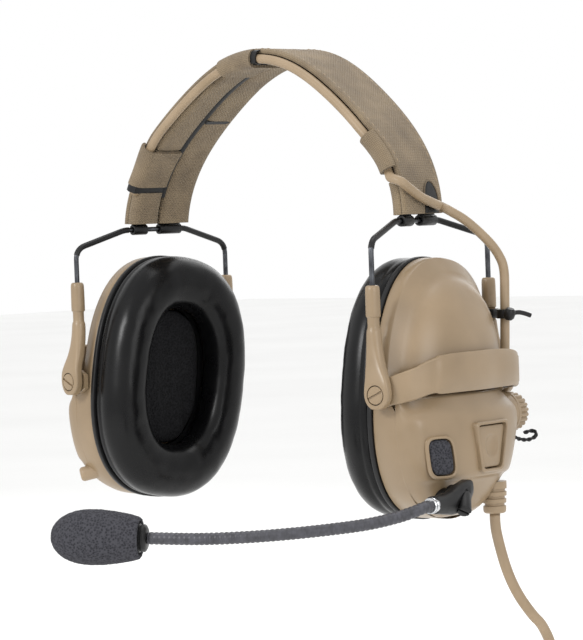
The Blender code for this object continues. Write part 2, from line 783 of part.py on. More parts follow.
def port_plug(frame, cover):
    """The small blanking plug low on the left module cover."""
    way = Vector((-0.5, -0.85, -0.2)).normalized()
    profile = [(0, 3 * MM), (2.6 * MM, 3 * MM), (3.4 * MM, 2.2 * MM), (3.4 * MM, 0), (0, 0)]
    seat = Vector((-11.0, -33.3, -42.5)) * MM
    lathe("left_port_plug", profile, "tan_rubber", frame, seat, way)
    cut(cover, drill("port_hole", frame, seat - way * 6 * MM, seat + way * 6 * MM, 3.8 * MM))


# Right cup's own pieces


def push_button(frame, cover):
    """A trapezoid push-to-talk button in a recess of the outer face."""
    def keystone(extra):
        e = extra / MM
        points = [(-8.6 - e, -15.4 + e), (11.4 + e, -15.4 + e), (7.0 + e * 0.8, -32.6 - e), (-5.4 - e * 0.8, -32.6 - e)]
        return [(v * MM, z * MM) for v, z in points]

    def prism(extra, low, high):
        return loft([[(u, v, z) for v, z in keystone(extra)] for u in (low, high)])

    tool = as_cutter(add_mesh("button_hole", prism(BUTTON_CLEARANCE, 15 * MM, 32 * MM), "tan_plastic", frame))
    cut(cover, tool)
    origin = (BUTTON_TOP_U, 1.0 * MM, -24.0 * MM)
    button = add_mesh("push_button", prism(0, BUTTON_U, BUTTON_TOP_U), "tan_plastic", frame, origin)
    bevel(button, 0.8 * MM)


def ambient_microphone(frame, cover):
    """The foam plug over the outside microphone, on the front bevel."""
    centre = Vector((21.9, -28.8, -26.3)) * MM
    out = Vector((0.93, -0.36, 0.0)).normalized()
    across = Vector((-out.y, out.x, 0))
    up = Vector((0, 0, 1))

    def window(extra, depth):
        ring = []
        for v, z in superellipse(5.6 * MM + extra, 7.3 * MM + extra, 16, 4.0):
            lean = -0.12 * z
            ring.append(centre + across * (v + lean) + up * z + out * depth)
        return ring

    tool = loft([window(GAP, -9 * MM), window(GAP, 6 * MM)])
    cut(cover, as_cutter(add_mesh("ambient_window", tool, "tan_plastic", frame)))
    add_mesh("ambient_mic_foam", loft([window(0, -3.0 * MM), window(0, 0.5 * MM)]), "grey_foam", frame)


def battery(frame, shell, cover):
    """Battery tube with its round boss, the cell, the ribbed cap and the cap's tether."""
    axis = (0, 1, 0)
    room = drill(
        "boss_room", frame, (BATTERY_U, 25.5 * MM, BATTERY_Z), (BATTERY_U, 48 * MM, BATTERY_Z),
        BOSS_RADIUS + GAP, 24,
    )
    cut(shell, room)
    cut(cover, room)
    tube_out, tube_in, tube_start, boss_start = 6.1 * MM, 5.45 * MM, -13.5 * MM, 26.8 * MM
    profile = [
        (0, tube_start + 1.2 * MM), (tube_in, tube_start + 1.2 * MM), (tube_in, BOSS_END_V),
        (BOSS_RADIUS - 0.6 * MM, BOSS_END_V), (BOSS_RADIUS, BOSS_END_V - 0.6 * MM),
        (BOSS_RADIUS, boss_start), (tube_out, boss_start), (tube_out, tube_start), (0, tube_start),
    ]
    lathe("battery_tube", profile, "tan_plastic", frame, (BATTERY_U, 0, BATTERY_Z), axis, 22)
    cell = [
        (0, 33 * MM), (1.8 * MM, 33 * MM), (1.8 * MM, 32 * MM), (5.1 * MM, 32 * MM),
        (5.1 * MM, -11.9 * MM), (0, -11.9 * MM),
    ]
    lathe("battery_cell", cell, "steel_wire", frame, (BATTERY_U, 0, BATTERY_Z), axis, 14)
    outline = []
    for i in range(2 * CAP_RIBS):
        angle = math.pi * i / CAP_RIBS
        radius = CAP_RADIUS if i % 2 else CAP_RADIUS - 0.7 * MM
        outline.append((radius * math.cos(angle), radius * math.sin(angle)))
    data = outline_data("battery_cap", [outline], CAP_LENGTH / 2)
    turn = Vector((0, 0, 1)).rotation_difference(Vector(axis))
    middle = (BATTERY_U, CAP_START_V + CAP_LENGTH / 2, BATTERY_Z)
    add_object("battery_cap", data, "tan_plastic", frame, middle, turn)
    loop = [
        (13.4, 36.0, -22.9), (14.2, 40.5, -24.6), (16.2, 44.0, -25.2), (18.0, 46.8, -24.2),
        (18.2, 47.8, -22.4), (16.6, 46.8, -21.6), (14.8, 43.6, -22.2),
    ]
    points = smooth_path([Vector(p) * MM for p in loop], 16)
    tube("cap_tether", points, 0.9 * MM, "black_plastic", frame, sides=1)


def circuit_board(frame):
    """The board behind the outer face."""
    bm = bmesh.new()
    bmesh.ops.create_cube(bm, size=1.0)
    bmesh.ops.scale(bm, vec=(1.6 * MM, 26 * MM, 22 * MM), verts=bm.verts)
    bmesh.ops.translate(bm, vec=(18.4 * MM, -1.5 * MM, -24 * MM), verts=bm.verts)
    add_mesh("circuit_board", bm, "board_green", frame)


def boom(frame, cover):
    """Mount, swinging elbow, clamp screw, gooseneck and microphone."""
    out = Vector((1, 0, 0))
    base = Vector(BOOM_PIVOT)
    profile = [
        (0, 3.1 * MM), (4.6 * MM, 3.1 * MM), (5.0 * MM, 2.7 * MM), (5.0 * MM, 0.6 * MM),
        (3.6 * MM, 0.6 * MM), (3.6 * MM, -8 * MM), (0, -8 * MM),
    ]
    lathe("boom_mount", profile, "black_plastic", frame, base, out, 18)
    cut(cover, drill("mount_hole", frame, base - out * 12 * MM, base + out * 8 * MM, 3.9 * MM))
    pivot = add_empty("boom_pivot", base, parent=frame)

    def local(u, v, z):
        return Vector((u, v, z)) * MM - base

    # centre, half sizes across the arm
    arm = [
        (local(27.0, -17.5, -39.5), 2.4, 3.4), (local(27.2, -21.0, -41.0), 3.3, 5.2),
        (local(27.4, -27.0, -43.0), 3.5, 5.8), (local(27.8, -33.0, -44.3), 3.4, 4.8),
        (local(28.0, -39.0, -44.3), 3.3, 4.0), (local(28.4, -45.5, -43.9), 3.2, 3.6),
    ]
    rings = []
    for centre, thick, tall in arm:
        oval = superellipse(thick * MM, tall * MM, 14, 3.0)
        rings.append([centre + Vector((a, 0, b)) for a, b in oval])
    elbow = add_mesh("boom_elbow", loft(rings), "black_plastic", pivot)
    route = [
        (28.9, -46.0, -43.9), (29.0, -52.0, -44.1), (26.1, -56.7, -45.7), (23.0, -62.0, -47.1),
        (18.1, -70.9, -48.6), (11.9, -79.3, -49.6), (-1.1, -94.9, -50.7), (-15.5, -108.3, -51.4),
        (-31.7, -119.6, -51.6), (-49.9, -129.6, -50.9),
    ]
    points = smooth_path([local(*p) for p in route], 34)
    tube("gooseneck", points, GOOSENECK_RADIUS, "black_plastic", pivot)
    tip = points[-1]
    ahead = (points[-1] - points[-3]).normalized()
    collar = [
        (0, 5.4 * MM), (3.4 * MM, 5.4 * MM), (5.6 * MM, 4.4 * MM), (5.9 * MM, 3.0 * MM),
        (5.4 * MM, 0.6 * MM), (4.6 * MM, 0), (0, 0),
    ]
    lathe("mic_collar", collar, "black_plastic", pivot, tip + ahead * GAP, ahead, 16)
    foam_start = tip + ahead * 1.6 * MM
    foam = [
        (0, 37.6 * MM), (3.6 * MM, 36.9 * MM), (7.3 * MM, 34 * MM), (10.1 * MM, 28.5 * MM),
        (11.1 * MM, 22 * MM), (10.8 * MM, 15 * MM), (9.7 * MM, 7.5 * MM), (8.2 * MM, 1.5 * MM),
        (6.6 * MM, 1.5 * MM), (6.6 * MM, 4.8 * MM), (0, 4.8 * MM),
    ]
    lathe("mic_windscreen", foam, "grey_foam", pivot, foam_start, ahead, 18)
    turn_axis = Vector((0.42, -0.62, -0.66)).normalized()
    knob = [
        (0, 9.5 * MM), (2.5 * MM, 9.5 * MM), (3.0 * MM, 9.0 * MM), (3.0 * MM, 0), (0, 0),
    ]
    seat = local(28.6, -23.6, -41.9)
    cut(elbow, drill("screw_room", pivot, seat - turn_axis * GAP, seat + turn_axis * 20 * MM, 3.3 * MM))
    screw = lathe("thumb_screw", knob, "black_plastic", pivot, seat, turn_axis, 14)
    slot = bmesh.new()
    bmesh.ops.create_cube(slot, size=1.0)
    bmesh.ops.scale(slot, vec=(8 * MM, 0.9 * MM, 2.0 * MM), verts=slot.verts)
    turn = Vector((0, 0, 1)).rotation_difference(turn_axis).to_matrix()
    bmesh.ops.rotate(slot, matrix=turn, verts=slot.verts)
    bmesh.ops.translate(slot, vec=seat + turn_axis * 9.5 * MM, verts=slot.verts)
    cut(screw, as_cutter(add_mesh("thumb_slot", slot, "black_plastic", pivot)))


def trailing_lead(frame, cover):
    """Strain relief, the hanging lead, its tied hank and the plug."""
    relief = [(0, 0), (5.3 * MM, 0), (5.3 * MM, -6.5 * MM), (4.8 * MM, -13.4 * MM), (0, -13.4 * MM)]
    top = Vector((14.4, 19.8, -40.6)) * MM
    room = drill("relief_room", frame, top + Vector((0, 0, 0.4 * MM)), top - Vector((0, 0, 25 * MM)), 5.7 * MM)
    cut(cover, room)
    lathe("strain_relief", relief, "tan_rubber", frame, top, (0, 0, 1), 16)
    route = [
        (14.4, 19.8, -54.3), (14.4, 19.8, -58.0), (14.9, 20.1, -63.3), (16.8, 22.0, -74.9),
        (18.8, 24.3, -83.6), (21.3, 27.1, -91.0), (24.3, 31.3, -98.3), (26.3, 34.5, -102.6),
        (27.9, 37.9, -110.0), (28.2, 39.3, -117.0),
    ]
    points = smooth_path([Vector(p) * MM for p in route], 26)
    tube("downlead", points, LEAD_RADIUS, "tan_rubber", frame)
    end = points[-1]
    half_width, half_thick = 9.2 * MM, 9.2 * MM
    outline = []
    for i in range(9):
        angle = math.pi * i / 8
        outline.append((half_width * math.cos(angle), half_width * 0.8 * math.sin(angle)))
    drop = HANK_LENGTH - 2 * half_width * 0.8
    for i in range(9):
        angle = math.pi * (1 + i / 8)
        outline.append((half_width * math.cos(angle), half_width * 0.8 * math.sin(angle) - drop))
    middle = end + Vector((-6.95 * MM, 6.9 * MM, -half_width * 0.8 - 1.3 * MM))
    data = outline_data("downlead_hank", [outline], half_thick)
    upright = Matrix.Rotation(math.pi / 2, 3, "X").to_quaternion()
    hank = as_mesh(add_object("downlead_hank", data, "tan_rubber", frame, middle, upright))
    tie_z = middle.z - drop / 2
    rings = []
    for grow, level in ((1.7, 4), (1.7, -4), (0.35, -4), (0.35, 4)):
        x, y = half_width + grow * MM, half_thick + grow * MM
        corners = ((-x, -y), (x, -y), (x, y), (-x, y))
        rings.append([(middle.x + a, middle.y + b, tie_z + level * MM) for a, b in corners])
    add_mesh("hank_tie", closed_loft(rings), "black_plastic", frame)
    plug = [
        (0, 0), (2.6 * MM, -0.0), (3.6 * MM, -8 * MM), (7.6 * MM, -12 * MM), (7.8 * MM, -38 * MM),
        (6.6 * MM, -40 * MM), (3.55 * MM, -40 * MM), (3.55 * MM, -64 * MM), (2.2 * MM, -66 * MM),
        (3.2 * MM, -68 * MM), (2.2 * MM, -71 * MM), (0, -72 * MM),
    ]
    place = (middle.x, middle.y + half_thick + 10.4 * MM, middle.z + 1.0 * MM)
    lathe("plug", plug, "black_plastic", frame, place, (0, 0, 1), 16)
    return hank


# Crossover cable


def crossover_cable():
    """From the left end of the band, along its front edge, to the outside of its right end."""
    along = []
    for degrees in [*range(168, 21, -8), 20, 17.8, 16.4, 15.6, 14.8]:
        phi = math.radians(degrees)
        along.append(band_point(phi, front_edge(phi) - 0.4 * MM, CABLE_HEIGHT))
    # angle on the band, y, height above the head
    leave = [
        (13.2, -16.1, 4.5), (11.9, -17.0, 7.0), (10.4, -16.2, 9.6), (8.3, -11.2, 9.9),
        (6.1, -4.4, 9.9), (4.6, 3.1, 9.9), (3.3, 10.8, 9.9),
    ]
    leave = [band_point(math.radians(a), y * MM, h * MM) for a, y, h in leave]
    points = smooth_path(along + leave, 64)
    tube("crossover_cable", points, CABLE_RADIUS, "tan_rubber")


def crossover_tail(carrier):
    """From the band's right end down beside the rear stem and under the strap into the boss."""
    route = [
        (0.2, 13.0, 74.1), (4.6, 20.2, 69.0), (9.2, 28.6, 60.7), (11.2, 34.0, 54.1), (12.6, 35.6, 47.6),
        (13.0, 34.9, 35.0), (12.8, 34.4, 20.0), (12.4, 34.3, 8.0), (12.6, 34.2, 0.3),
    ]
    points = smooth_path([Vector(p) * MM for p in route], 26)
    tube("crossover_tail", points, CABLE_RADIUS, "tan_rubber", carrier)


def cable_tie(carrier):
    """The rubber tie that holds the cable to the rear stem, seated in the stem's groove."""
    stem = Vector((0.0, LEG_OFFSET))
    cable = Vector((12.92, 34.7)) * MM
    along = (cable - stem).normalized()
    side = Vector((-along.y, along.x))

    def arc(centre, radius, direction, spread, steps):
        points = []
        for i in range(steps + 1):
            angle = -spread + 2 * spread * i / steps
            way = direction * math.cos(angle) + side * direction.dot(along) * math.sin(angle)
            points.append(centre + way * radius)
        return points

    outer = arc(stem, 4.0 * MM, -along, math.radians(155), 12)
    outer += arc(cable, 3.5 * MM, along, math.radians(150), 12)
    holes = []
    for centre, radius in ((stem, 2.9 * MM), (cable, 2.35 * MM)):
        hole = []
        for i in range(14):
            angle = -2 * math.pi * i / 14
            hole.append(centre + Vector((math.cos(angle), math.sin(angle))) * radius)
        holes.append(hole)
    data = outline_data("cable_tie", [outer] + holes, 1.9 * MM)
    add_object("cable_tie", data, "black_plastic", carrier, (0, 0, STEM_LENGTH - 15.4 * MM))


def main():
    global parts, cutters
    for obj in list(bpy.data.objects):
        bpy.data.objects.remove(obj)
    parts = bpy.data.collections.new("radio_headset")
    cutters = bpy.data.collections.new("cutters")
    bpy.context.scene.collection.children.link(parts)
    bpy.context.scene.collection.children.link(cutters)

    headband()
    crossover_cable()
    for side, sign in (("left", -1), ("right", 1)):
        yoke_wire(side)
        wire_clips(side, sign)
        place = (YOKE_X + sign * YOKE_HALF_SPAN, YOKE_Y, PIVOT_Z[side])
        carrier = add_empty(side + "_slider", place, sign * YOKE_TOE)
        stems(side, sign, carrier)
        frame, shell, cover = cup(side, sign, carrier)
        if side == "left":
            port_plug(frame, cover)
        else:
            push_button(frame, cover)
            ambient_microphone(frame, cover)
            battery(frame, shell, cover)
            circuit_board(frame)
            boom(frame, cover)
            trailing_lead(frame, cover)
            crossover_tail(carrier)
            cable_tie(carrier)


main()
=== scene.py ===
"""Radio headset with a boom microphone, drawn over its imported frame.

Lengths are millimetres in the cups' and the band's own measures, and metres in Blender.
A cup's frame is (u, v, z): u out of the ear, v to the rear, z above the tilt pivots.
"""

import math

import bmesh
import bpy
from mathutils import Matrix, Vector, noise


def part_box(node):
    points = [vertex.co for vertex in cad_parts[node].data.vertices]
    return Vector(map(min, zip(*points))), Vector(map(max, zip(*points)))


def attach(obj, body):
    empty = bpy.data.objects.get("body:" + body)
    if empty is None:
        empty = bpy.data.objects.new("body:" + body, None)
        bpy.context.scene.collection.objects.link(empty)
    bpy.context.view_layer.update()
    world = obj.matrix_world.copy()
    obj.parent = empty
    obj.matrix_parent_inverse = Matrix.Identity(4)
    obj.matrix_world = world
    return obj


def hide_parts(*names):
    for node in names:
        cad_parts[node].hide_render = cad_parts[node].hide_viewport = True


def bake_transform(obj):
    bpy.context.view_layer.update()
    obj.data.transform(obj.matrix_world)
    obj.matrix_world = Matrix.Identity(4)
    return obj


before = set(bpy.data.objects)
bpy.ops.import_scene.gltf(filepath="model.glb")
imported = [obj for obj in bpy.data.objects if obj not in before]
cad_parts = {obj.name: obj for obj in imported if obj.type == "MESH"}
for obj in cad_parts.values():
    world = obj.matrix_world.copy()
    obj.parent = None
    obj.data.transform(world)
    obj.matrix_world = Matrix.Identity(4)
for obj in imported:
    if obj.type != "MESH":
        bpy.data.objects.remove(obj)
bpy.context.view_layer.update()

bl_info = {
    "name": "Radio headset",
    "version": (1, 0, 0),
    "blender": (4, 5, 0),
    "location": "3D View > Sidebar > Headset",
    "description": "Builds a tactical radio headset piece by piece",
    "category": "Add Mesh",
}

MM = 0.001
SIDES = (("left", -1), ("right", 1))
ENDS = (("front", -1), ("rear", 1))
# all in millimetres, in the frame's axes
# height of each cup's pivots
PIVOT_Z = {"left": -136.4, "right": -139.4}
# middle of the two cups in x and y, half the span between their frames, and their toe-in
YOKE = (3.4, -5.5, 84.7, math.radians(6.5))
# half the distance between the legs of a wire
LEG = 42.35
# power of the superellipse that outlines a cup, its lean back at the top, and its place across
OVAL_POWER = 2.4
LEAN = math.radians(9)
SHIFT = -1.2
# where a shell's open rim lies, measured outward from the pivots
RIM = -3.7
# heights of each wire: its bar, the bends below it, the end of its sleeves and its tips
WIRE_BAR_Z = -69.4
WIRE_BEND_Z = -77.1
SLEEVE_END_Z = -80.5
WIRE_TIP_Z = -114.5

# Materials


def linear(code):
    """A linear colour from an sRGB hex value."""
    values = [int(code[i:i + 2], 16) / 255 for i in (1, 3, 5)]
    return tuple(v / 12.92 if v <= 0.04045 else ((v + 0.055) / 1.055) ** 2.4 for v in values) + (1.0,)


def add_node(tree, kind, settings=None, sockets=None, links=None):
    """One node with its settings, its constant sockets and its incoming links."""
    made = tree.nodes.new(kind)
    for name, value in (settings or {}).items():
        setattr(made, name, value)
    for name, value in (sockets or {}).items():
        made.inputs[name].default_value = value
    for name, source in (links or {}).items():
        tree.links.new(source, made.inputs[name])
    return made


def surface(name, sockets):
    """A material with its Principled shader's constants set."""
    made = bpy.data.materials.new(name)
    made.use_nodes = True
    tree = made.node_tree
    shader = tree.nodes["Principled BSDF"]
    for socket, value in sockets.items():
        shader.inputs[socket].default_value = value
    return made, tree, shader


def tone(tree, shader, source, low, high, dark, light):
    """Colours the surface between two hex values by a pattern's value."""
    ramp = add_node(tree, "ShaderNodeValToRGB", links={"Fac": source})
    ramp.color_ramp.elements[0].position = low
    ramp.color_ramp.elements[1].position = high
    ramp.color_ramp.elements[0].color = linear(dark)
    ramp.color_ramp.elements[1].color = linear(light)
    tree.links.new(ramp.outputs["Color"], shader.inputs["Base Color"])


def relief(tree, shader, source, depth, strength):
    """Raises the surface by a pattern; depth in millimetres."""
    bump = add_node(
        tree, "ShaderNodeBump", sockets={"Distance": depth * MM, "Strength": strength},
        links={"Height": source},
    )
    tree.links.new(bump.outputs["Normal"], shader.inputs["Normal"])


def grain(tree, size, detail=3.0):
    """Noise with grains of a size in millimetres, fixed to the object."""
    place = add_node(tree, "ShaderNodeTexCoord").outputs["Object"]
    return add_node(
        tree, "ShaderNodeTexNoise", sockets={"Scale": 1 / (size * MM), "Detail": detail},
        links={"Vector": place},
    ).outputs["Fac"]


def spread(tree, shader, source, low, high):
    """Varies roughness by a pattern."""
    span = add_node(
        tree, "ShaderNodeMapRange", sockets={"To Min": low, "To Max": high}, links={"Value": source}
    )
    tree.links.new(span.outputs["Result"], shader.inputs["Roughness"])


def moulded_nylon():
    """Glass-filled nylon from a spark-eroded mould: a matt tan skin with a fine even grain."""
    made, tree, shader = surface("moulded_tan_nylon", {"IOR": 1.53, "Specular IOR Level": 0.5})
    tone(tree, shader, grain(tree, 24.0), 0.3, 0.7, "#806D54", "#8C785E")
    spread(tree, shader, grain(tree, 3.0), 0.32, 0.40)
    # grain of 0.35 mm, drawn at 0.6 mm so that it shows
    relief(tree, shader, grain(tree, 0.6, 2.0), 0.05, 0.35)
    return made


def woven_nylon():
    """Plain-weave nylon cloth: matt crossing threads, darkened with painted shade where they dip, with a soft
    fuzz on the outline.
    """
    made, tree, shader = surface(
        "woven_tan_nylon", {"IOR": 1.53, "Roughness": 0.88, "Sheen Weight": 0.08, "Sheen Roughness": 0.5}
    )
    # threads of 0.35 mm, drawn at 0.8 mm so that the weave shows
    pitch = 0.8
    flat = add_node(tree, "ShaderNodeTexCoord").outputs["UV"]
    warp, weft = [
        add_node(
            tree, "ShaderNodeTexWave", {"bands_direction": way},
            {"Scale": 0.314 / pitch, "Distortion": 0.4, "Detail": 1.0}, {"Vector": flat},
        ).outputs["Fac"] for way in ("X", "Y")
    ]
    over = add_node(tree, "ShaderNodeTexChecker", sockets={"Scale": 1 / pitch}, links={"Vector": flat})
    weave = add_node(
        tree, "ShaderNodeMix", links={"Factor": over.outputs["Fac"], "A": warp, "B": weft}
    ).outputs["Result"]
    # painted shade: the cloth is coloured darker where the threads of the weave dip, and a broad grain adds a
    # random tone
    weave_shade_and_tone = add_node(
        tree, "ShaderNodeMath", {"operation": "MULTIPLY_ADD"}, {1: 0.45}, {0: weave, 2: grain(tree, 14.0)}
    ).outputs["Value"]
    tone(tree, shader, weave_shade_and_tone, 0.3, 1.1, "#584B3B", "#86755C")
    relief(tree, shader, weave, 0.22, 0.8)
    return made


def pu_leather():
    """Polyurethane leather over foam: black, glossy on the crown, with a shallow creased pore."""
    made, tree, shader = surface(
        "black_pu_leather", {"IOR": 1.48, "Specular IOR Level": 0.22}
    )
    tone(tree, shader, grain(tree, 20.0), 0.3, 0.7, "#060607", "#0C0C0D")
    spread(tree, shader, grain(tree, 9.0), 0.22, 0.34)
    relief(tree, shader, grain(tree, 0.7, 4.0), 0.05, 0.3)
    return made


def foam(name, dark, light):
    """Open-cell polyurethane foam: dull, pitted all over, with painted shade darkening its pits so that the
    cell walls read paler.
    """
    made, tree, shader = surface(name, {"IOR": 1.5, "Roughness": 0.95, "Specular IOR Level": 0.2})
    place = add_node(tree, "ShaderNodeTexCoord").outputs["Object"]
    # cells of 0.5 mm, drawn at 0.9 mm
    cells = add_node(tree, "ShaderNodeTexVoronoi", sockets={"Scale": 1100.0}, links={"Vector": place})
    # painted shade: darker towards the middle of each cell, where the relief sinks into a pit
    tone(tree, shader, cells.outputs["Distance"], 0.1, 0.7, dark, light)
    relief(tree, shader, cells.outputs["Distance"], 0.35, 0.9)
    return made


def cable_jacket():
    """Extruded thermoplastic rubber: an even tan with a low satin shine along the cable."""
    made, tree, shader = surface("tan_cable_jacket", {"IOR": 1.5})
    tone(tree, shader, grain(tree, 15.0), 0.3, 0.7, "#87745A", "#958168")
    spread(tree, shader, grain(tree, 2.0), 0.40, 0.52)
    relief(tree, shader, grain(tree, 0.5, 2.0), 0.03, 0.25)
    return made


def black_nylon():
    """Moulded black nylon: dark, with a dull sheen and fine grain."""
    made, tree, shader = surface("black_moulded_nylon", {"IOR": 1.53, "Specular IOR Level": 0.3})
    tone(tree, shader, grain(tree, 10.0), 0.3, 0.7, "#09090A", "#121213")
    spread(tree, shader, grain(tree, 2.0), 0.36, 0.5)
    relief(tree, shader, grain(tree, 0.6, 2.0), 0.04, 0.3)
    return made


def spring_steel():
    """Oiled spring steel wire: dark grey metal with draw lines and soft highlights."""
    made, tree, shader = surface("drawn_spring_steel", {"Metallic": 1.0})
    tone(tree, shader, grain(tree, 4.0), 0.3, 0.7, "#3E3F43", "#5E6064")
    spread(tree, shader, grain(tree, 0.8), 0.25, 0.42)
    relief(tree, shader, grain(tree, 0.5), 0.02, 0.2)
    return made


def gooseneck_skin():
    """Corrugated vinyl sleeve of the boom: mid grey, satin, dusty in its grooves."""
    made, tree, shader = surface("grey_vinyl_sleeve", {"IOR": 1.52})
    tone(tree, shader, grain(tree, 2.5), 0.3, 0.7, "#2A2A2F", "#404047")
    spread(tree, shader, grain(tree, 1.5), 0.38, 0.55)
    relief(tree, shader, grain(tree, 0.4, 2.0), 0.03, 0.3)
    return made


def chromed_brass():
    """Polished chrome plate on brass: bright rings at the joints."""
    made, tree, shader = surface("chrome_plate", {"Metallic": 1.0})
    tone(tree, shader, grain(tree, 3.0), 0.3, 0.7, "#B8BABD", "#D9DADC")
    spread(tree, shader, grain(tree, 1.0), 0.12, 0.22)
    return made


def solder_mask():
    """Glass-epoxy board under green lacquer."""
    made, tree, shader = surface("green_board_lacquer", {"IOR": 1.5, "Roughness": 0.4})
    tone(tree, shader, grain(tree, 1.0), 0.4, 0.6, "#12391F", "#1C5530")
    return made


def satin_floor():
    """Matt seamless paper."""
    made, tree, shader = surface("pale_paper", {"Roughness": 0.9})
    tone(tree, shader, grain(tree, 300.0), 0.3, 0.7, "#F4F4F3", "#F8F8F7")
    return made


LOOKS = {
    "tan_plastic": moulded_nylon(), "tan_fabric": woven_nylon(), "black_leather": pu_leather(),
    # each foam's darker colour is painted shade in its pits
    "grey_foam": foam("grey_open_foam", "#222226", "#414146"),
    "dark_foam": foam("black_ear_foam", "#060607", "#1B1B1D"),
    "tan_rubber": cable_jacket(), "black_plastic": black_nylon(), "steel_wire": spring_steel(),
    "gooseneck": gooseneck_skin(), "chrome": chromed_brass(), "board_green": solder_mask(),
    "floor": satin_floor(),
}

# Shapes


def finish_piece(obj, look, body=None, nodes=(), smooth=35):
    """Gives a piece its material, shading and body, and hides the CAD nodes that it stands for."""
    obj.data.materials.clear()
    obj.data.materials.append(LOOKS[look])
    if obj.type == "MESH":
        obj.data.polygons.foreach_set("use_smooth", [True] * len(obj.data.polygons))
        if smooth:
            obj.data.set_sharp_from_angle(angle=math.radians(smooth))
    if body:
        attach(obj, body)
    for name in nodes:
        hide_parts(name)
    return obj


def mesh_object(name, bm):
    """A linked object from a bmesh, its normals turned outward."""
    bmesh.ops.recalc_face_normals(bm, faces=bm.faces)
    data = bpy.data.meshes.new(name)
    bm.to_mesh(data)
    bm.free()
    obj = bpy.data.objects.new(name, data)
    bpy.context.scene.collection.objects.link(obj)
    return obj


def loft(name, rings, around=True, ends=True, ring=False, measure=False):
    """A skin over rings of metre points; measure=True also unrolls it into UVs in millimetres."""
    bm = bmesh.new()
    rows = [[bm.verts.new(p) for p in points] for points in rings]
    flat = bm.loops.layers.uv.new("UVMap") if measure else None
    count = len(rings[0])
    along = [0.0]
    for a, b in zip(rings, rings[1:]):
        middle = lambda r: sum((Vector(p) for p in r), Vector()) / len(r)
        along.append(along[-1] + (middle(b) - middle(a)).length / MM)
    steps = list(zip(rows, rows[1:])) + ([(rows[-1], rows[0])] if ring else [])
    for k, (low, high) in enumerate(steps):
        across = 0.0
        for i in range(count if around else count - 1):
            j = (i + 1) % count
            face = bm.faces.new((low[i], low[j], high[j], high[i]))
            if measure:
                wide = (low[j].co - low[i].co).length / MM
                corners = ((across, 0), (across + wide, 0), (across + wide, 1), (across, 1))
                for corner, (x, step) in zip(face.loops, corners):
                    corner[flat].uv = (x, along[min(k + step, len(along) - 1)])
                across += wide
    if ends and not ring:
        for row in (rows[0][::-1], rows[-1]):
            face = bm.faces.new(row)
            if measure:
                for corner in face.loops:
                    corner[flat].uv = (corner.vert.co.x / MM, corner.vert.co.y / MM)
    return mesh_object(name, bm)


def turned(name, profile, origin, axis, steps=40):
    """A body turned about an axis; profile is (radius, height) in millimetres from end to end."""
    turn = Vector((0, 0, 1)).rotation_difference(Vector(axis)).to_matrix()
    rings = []
    for radius, height in profile:
        radius = max(radius, 0.02)
        rings.append([
            Vector(origin) + turn @ Vector((
                radius * math.cos(2 * math.pi * i / steps), radius * math.sin(2 * math.pi * i / steps), height
            )) * MM for i in range(steps)
        ])
    return loft(name, rings)


def pipe(name, points, radius, sides=16):
    """A tube along metre points; radius in millimetres, a number or a function of the distance."""
    points = [Vector(p) for p in points]
    normal = None
    rings = []
    gone = 0.0
    for i, point in enumerate(points):
        ahead = (points[min(i + 1, len(points) - 1)] - points[max(i - 1, 0)]).normalized()
        if normal is None:
            normal = ahead.orthogonal().normalized()
        normal = (normal - ahead * normal.dot(ahead)).normalized()
        side = ahead.cross(normal)
        if i:
            gone += (point - points[i - 1]).length / MM
        size = (radius(gone) if callable(radius) else radius) * MM
        rings.append([
            point + (normal * math.cos(a) + side * math.sin(a)) * size
            for a in (2 * math.pi * k / sides for k in range(sides))
        ])
    return loft(name, rings)


def smooth_path(points, step=None, count=None):
    """Evenly spaced points on a smooth curve through the given ones; step in millimetres."""
    given = [Vector(p) for p in points]
    given = [2 * given[0] - given[1]] + given + [2 * given[-1] - given[-2]]
    fine = []
    for a, b, c, d in zip(given, given[1:], given[2:], given[3:]):
        for k in range(16):
            t = k / 16
            fine.append(0.5 * (
                2 * b + (c - a) * t + (2 * a - 5 * b + 4 * c - d) * t**2 + (3 * b - a - 3 * c + d) * t**3
            ))
    fine.append(given[-2])
    lengths = [0.0]
    for a, b in zip(fine, fine[1:]):
        lengths.append(lengths[-1] + (b - a).length)
    count = count or max(3, int(lengths[-1] / (step * MM)) + 1)
    even, k = [], 0
    for i in range(count):
        target = lengths[-1] * i / (count - 1)
        while k < len(fine) - 2 and lengths[k + 1] < target:
            k += 1
        share = (target - lengths[k]) / (lengths[k + 1] - lengths[k])
        even.append(fine[k].lerp(fine[k + 1], share))
    return even


def subdivide(obj, levels=1):
    """Smooths a coarse cage and keeps the result in the mesh."""
    obj.modifiers.new("smooth", "SUBSURF").levels = levels
    return settle(obj)


def settle(obj):
    """Applies an object's modifiers."""
    bpy.context.view_layer.update()
    graph = bpy.context.evaluated_depsgraph_get()
    data = bpy.data.meshes.new_from_object(obj.evaluated_get(graph), depsgraph=graph)
    obj.modifiers.clear()
    obj.data = data
    return obj


def carve(obj, tool):
    """Takes one solid out of another."""
    cut = obj.modifiers.new("cut", "BOOLEAN")
    cut.object, cut.operation, cut.solver = tool, "DIFFERENCE", "EXACT"
    settle(obj)
    bpy.data.objects.remove(tool)
    return obj


def rounded(obj, width, segments=2, angle=30):
    """Breaks an object's edges by a width in millimetres."""
    edge = obj.modifiers.new("edge", "BEVEL")
    edge.width, edge.segments = width * MM, segments
    edge.limit_method, edge.angle_limit = "ANGLE", math.radians(angle)
    return settle(obj)


def from_node(name, node, edge=0.3, angle=40):
    """A piece from a CAD node's own shape, its facets welded and its edges broken."""
    bm = bmesh.new()
    bm.from_mesh(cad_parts[node].data)
    bmesh.ops.remove_doubles(bm, verts=bm.verts, dist=1e-6)
    bmesh.ops.dissolve_limit(bm, angle_limit=math.radians(1.5), verts=bm.verts, edges=bm.edges)
    obj = mesh_object(name, bm)
    return rounded(obj, edge, 2, angle) if edge else obj


# Measures of the band and the cups


